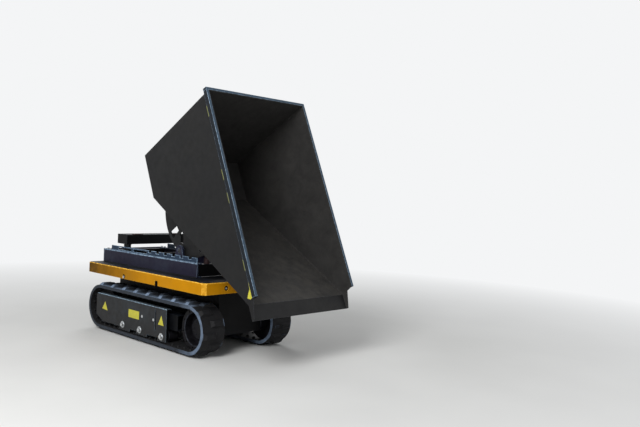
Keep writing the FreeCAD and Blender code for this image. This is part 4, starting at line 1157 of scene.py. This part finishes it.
class DUMPER_OT_skip(bpy.types.Operator):
    """Weld up the skip from its plates, with bars round its rim"""

    bl_idname = "dumper.skip"
    bl_label = "Skip"

    # Millimetres: the sides' inner and outer faces.
    inside, outside = 370, 374

    def execute(self, context):
        sizes = context.scene.dumper_sizes
        plates = soften(["skip_side_left", "skip_side_right", "skip_rear_wall", "skip_floor", "skip_slope",
                         "pouring_lip"], "skip_plates", sizes.edge, SKIP_BODY, "skip_paint",
                        extra=self.welds(sizes.weld * 0.8))
        bars = soften(["rim_bar_left", "rim_bar_right", "rim_bar_rear"], "rim_bars", 2.5 * sizes.edge,
                      SKIP_BODY, "skip_paint", "rim_paint_with_sky_sheen")
        self.scour(plates, bars)
        self.stickers()
        return {"FINISHED"}

    def welds(self, weld):
        """Beads inside along the folds of the plates, and outside under the rim bars."""
        fold = ((4, 0), (88, -715), (366, -715), (1227, -82), (1312, -82))
        rear, under_bar_rear, under_bar_front, under_bar = 3, 4, 1196, -30
        beads = bmesh.new()
        for sign in SIDES.values():
            seam(beads, SKIP_PLACE, [(x, sign * self.inside, z) for x, z in fold], weld)
            seam(beads, SKIP_PLACE, [(x, sign * self.outside, under_bar)
                                     for x in (under_bar_rear, under_bar_front)], weld)
        seam(beads, SKIP_PLACE, [(rear, y, under_bar) for y in (-self.outside, self.outside)], weld)
        return beads

    def scour(self, plates, bars):
        """Mark what the load slides over: the faces that look into the hopper, and the tops of the bars, whose
        blue-grey is painted sky reflection as well as scouring.
        """
        facing_in, facing_up = 0.12, 0.6
        middle = placed(SKIP_PLACE, 560, 0, -250)
        up = SKIP_PLACE.to_3x3() @ Vector((0, 0, 1))

        def inside(face):
            return (middle - face.center).normalized().dot(face.normal) > facing_in

        def on_top(face):
            return up.dot(face.normal) > facing_up

        for piece, slid_over in ((plates, inside), (bars, on_top)):
            mark = piece.data.attributes.new("scoured_and_sheen", "FLOAT", "FACE")
            for face in piece.data.polygons:
                mark.data[face.index].value = 1.0 if slid_over(face) else 0.0

    def stickers(self):
        """Four faded strips under each rim bar, and a blank patch at the pouring corner."""
        strip_ends, strip_top, strip_foot = ((78, 146), (468, 530), (605, 665), (988, 1048)), -39, -51
        patch = ((1110, -36), (1194, -36), (1203, -60), (1190, -82), (1166, -64), (1150, -50), (1110, -46))
        patches = bmesh.new()
        strips = bmesh.new()
        for sign in SIDES.values():
            side = sign * self.outside
            for rear, front in strip_ends:
                outline = ((rear, strip_top), (front, strip_top), (front, strip_foot), (rear, strip_foot))
                sticker(strips, SKIP_PLACE, outline, side, sign)
            sticker(patches, SKIP_PLACE, patch, side, sign)
        finish_piece("blank_skip_stickers", patches, SKIP_BODY, "skip_paint", "blank_yellow_vinyl")
        finish_piece("faded_skip_strips", strips, SKIP_BODY, "skip_paint", "faded_yellow_vinyl")


class DUMPER_OT_rockers(bpy.types.Operator):
    """Weld the round rocker plates under the skip, with the hinge sleeve and the stop tube"""

    bl_idname = "dumper.rockers"
    bl_label = "Rockers"

    def execute(self, context):
        faces, fold = (190, 200), ((225, -719), (368, -719), (760, -431))
        edge = context.scene.dumper_sizes.edge
        beads = bmesh.new()
        for sign in SIDES.values():
            for y in faces:
                seam(beads, SKIP_PLACE, [(x, sign * y, z) for x, z in fold], context.scene.dumper_sizes.weld)
        soften(["rocker_left", "rocker_right"], "rocker_plates", edge, SKIP_BODY, "skip_paint", extra=beads)
        soften(["hinge_sleeve", "stop_tube"], "hinge_sleeve_and_stop_tube", edge, SKIP_BODY, "skip_paint")
        return {"FINISHED"}


class DUMPER_PT_panel(bpy.types.Panel):
    """The pieces of the dumper, in the order in which they are made"""

    bl_idname = "DUMPER_PT_panel"
    bl_label = "Tracked dumper"
    bl_space_type = "VIEW_3D"
    bl_region_type = "UI"
    bl_category = "Dumper"

    def draw(self, context):
        for group in (context.scene.dumper_sizes, context.scene.dumper_colours):
            for name in group.__annotations__:
                self.layout.prop(group, name)
        for operator in OPERATORS:
            self.layout.operator(operator.bl_idname)


OPERATORS = (DUMPER_OT_stage, DUMPER_OT_solids, DUMPER_OT_platform, DUMPER_OT_subframe, DUMPER_OT_tracks,
             DUMPER_OT_running_gear, DUMPER_OT_covers, DUMPER_OT_skip, DUMPER_OT_rockers)
CLASSES = (DumperColours, DumperSizes, *OPERATORS, DUMPER_PT_panel)


def register():
    for item in CLASSES:
        bpy.utils.register_class(item)
    bpy.types.Scene.dumper_colours = bpy.props.PointerProperty(type=DumperColours)
    bpy.types.Scene.dumper_sizes = bpy.props.PointerProperty(type=DumperSizes)


def unregister():
    del bpy.types.Scene.dumper_sizes
    del bpy.types.Scene.dumper_colours
    for item in reversed(CLASSES):
        bpy.utils.unregister_class(item)


def main():
    """Make the whole scene."""
    register()
    for operator in OPERATORS:
        group, name = operator.bl_idname.split(".")
        getattr(getattr(bpy.ops, group), name)()


if __name__ == "__main__":
    main()
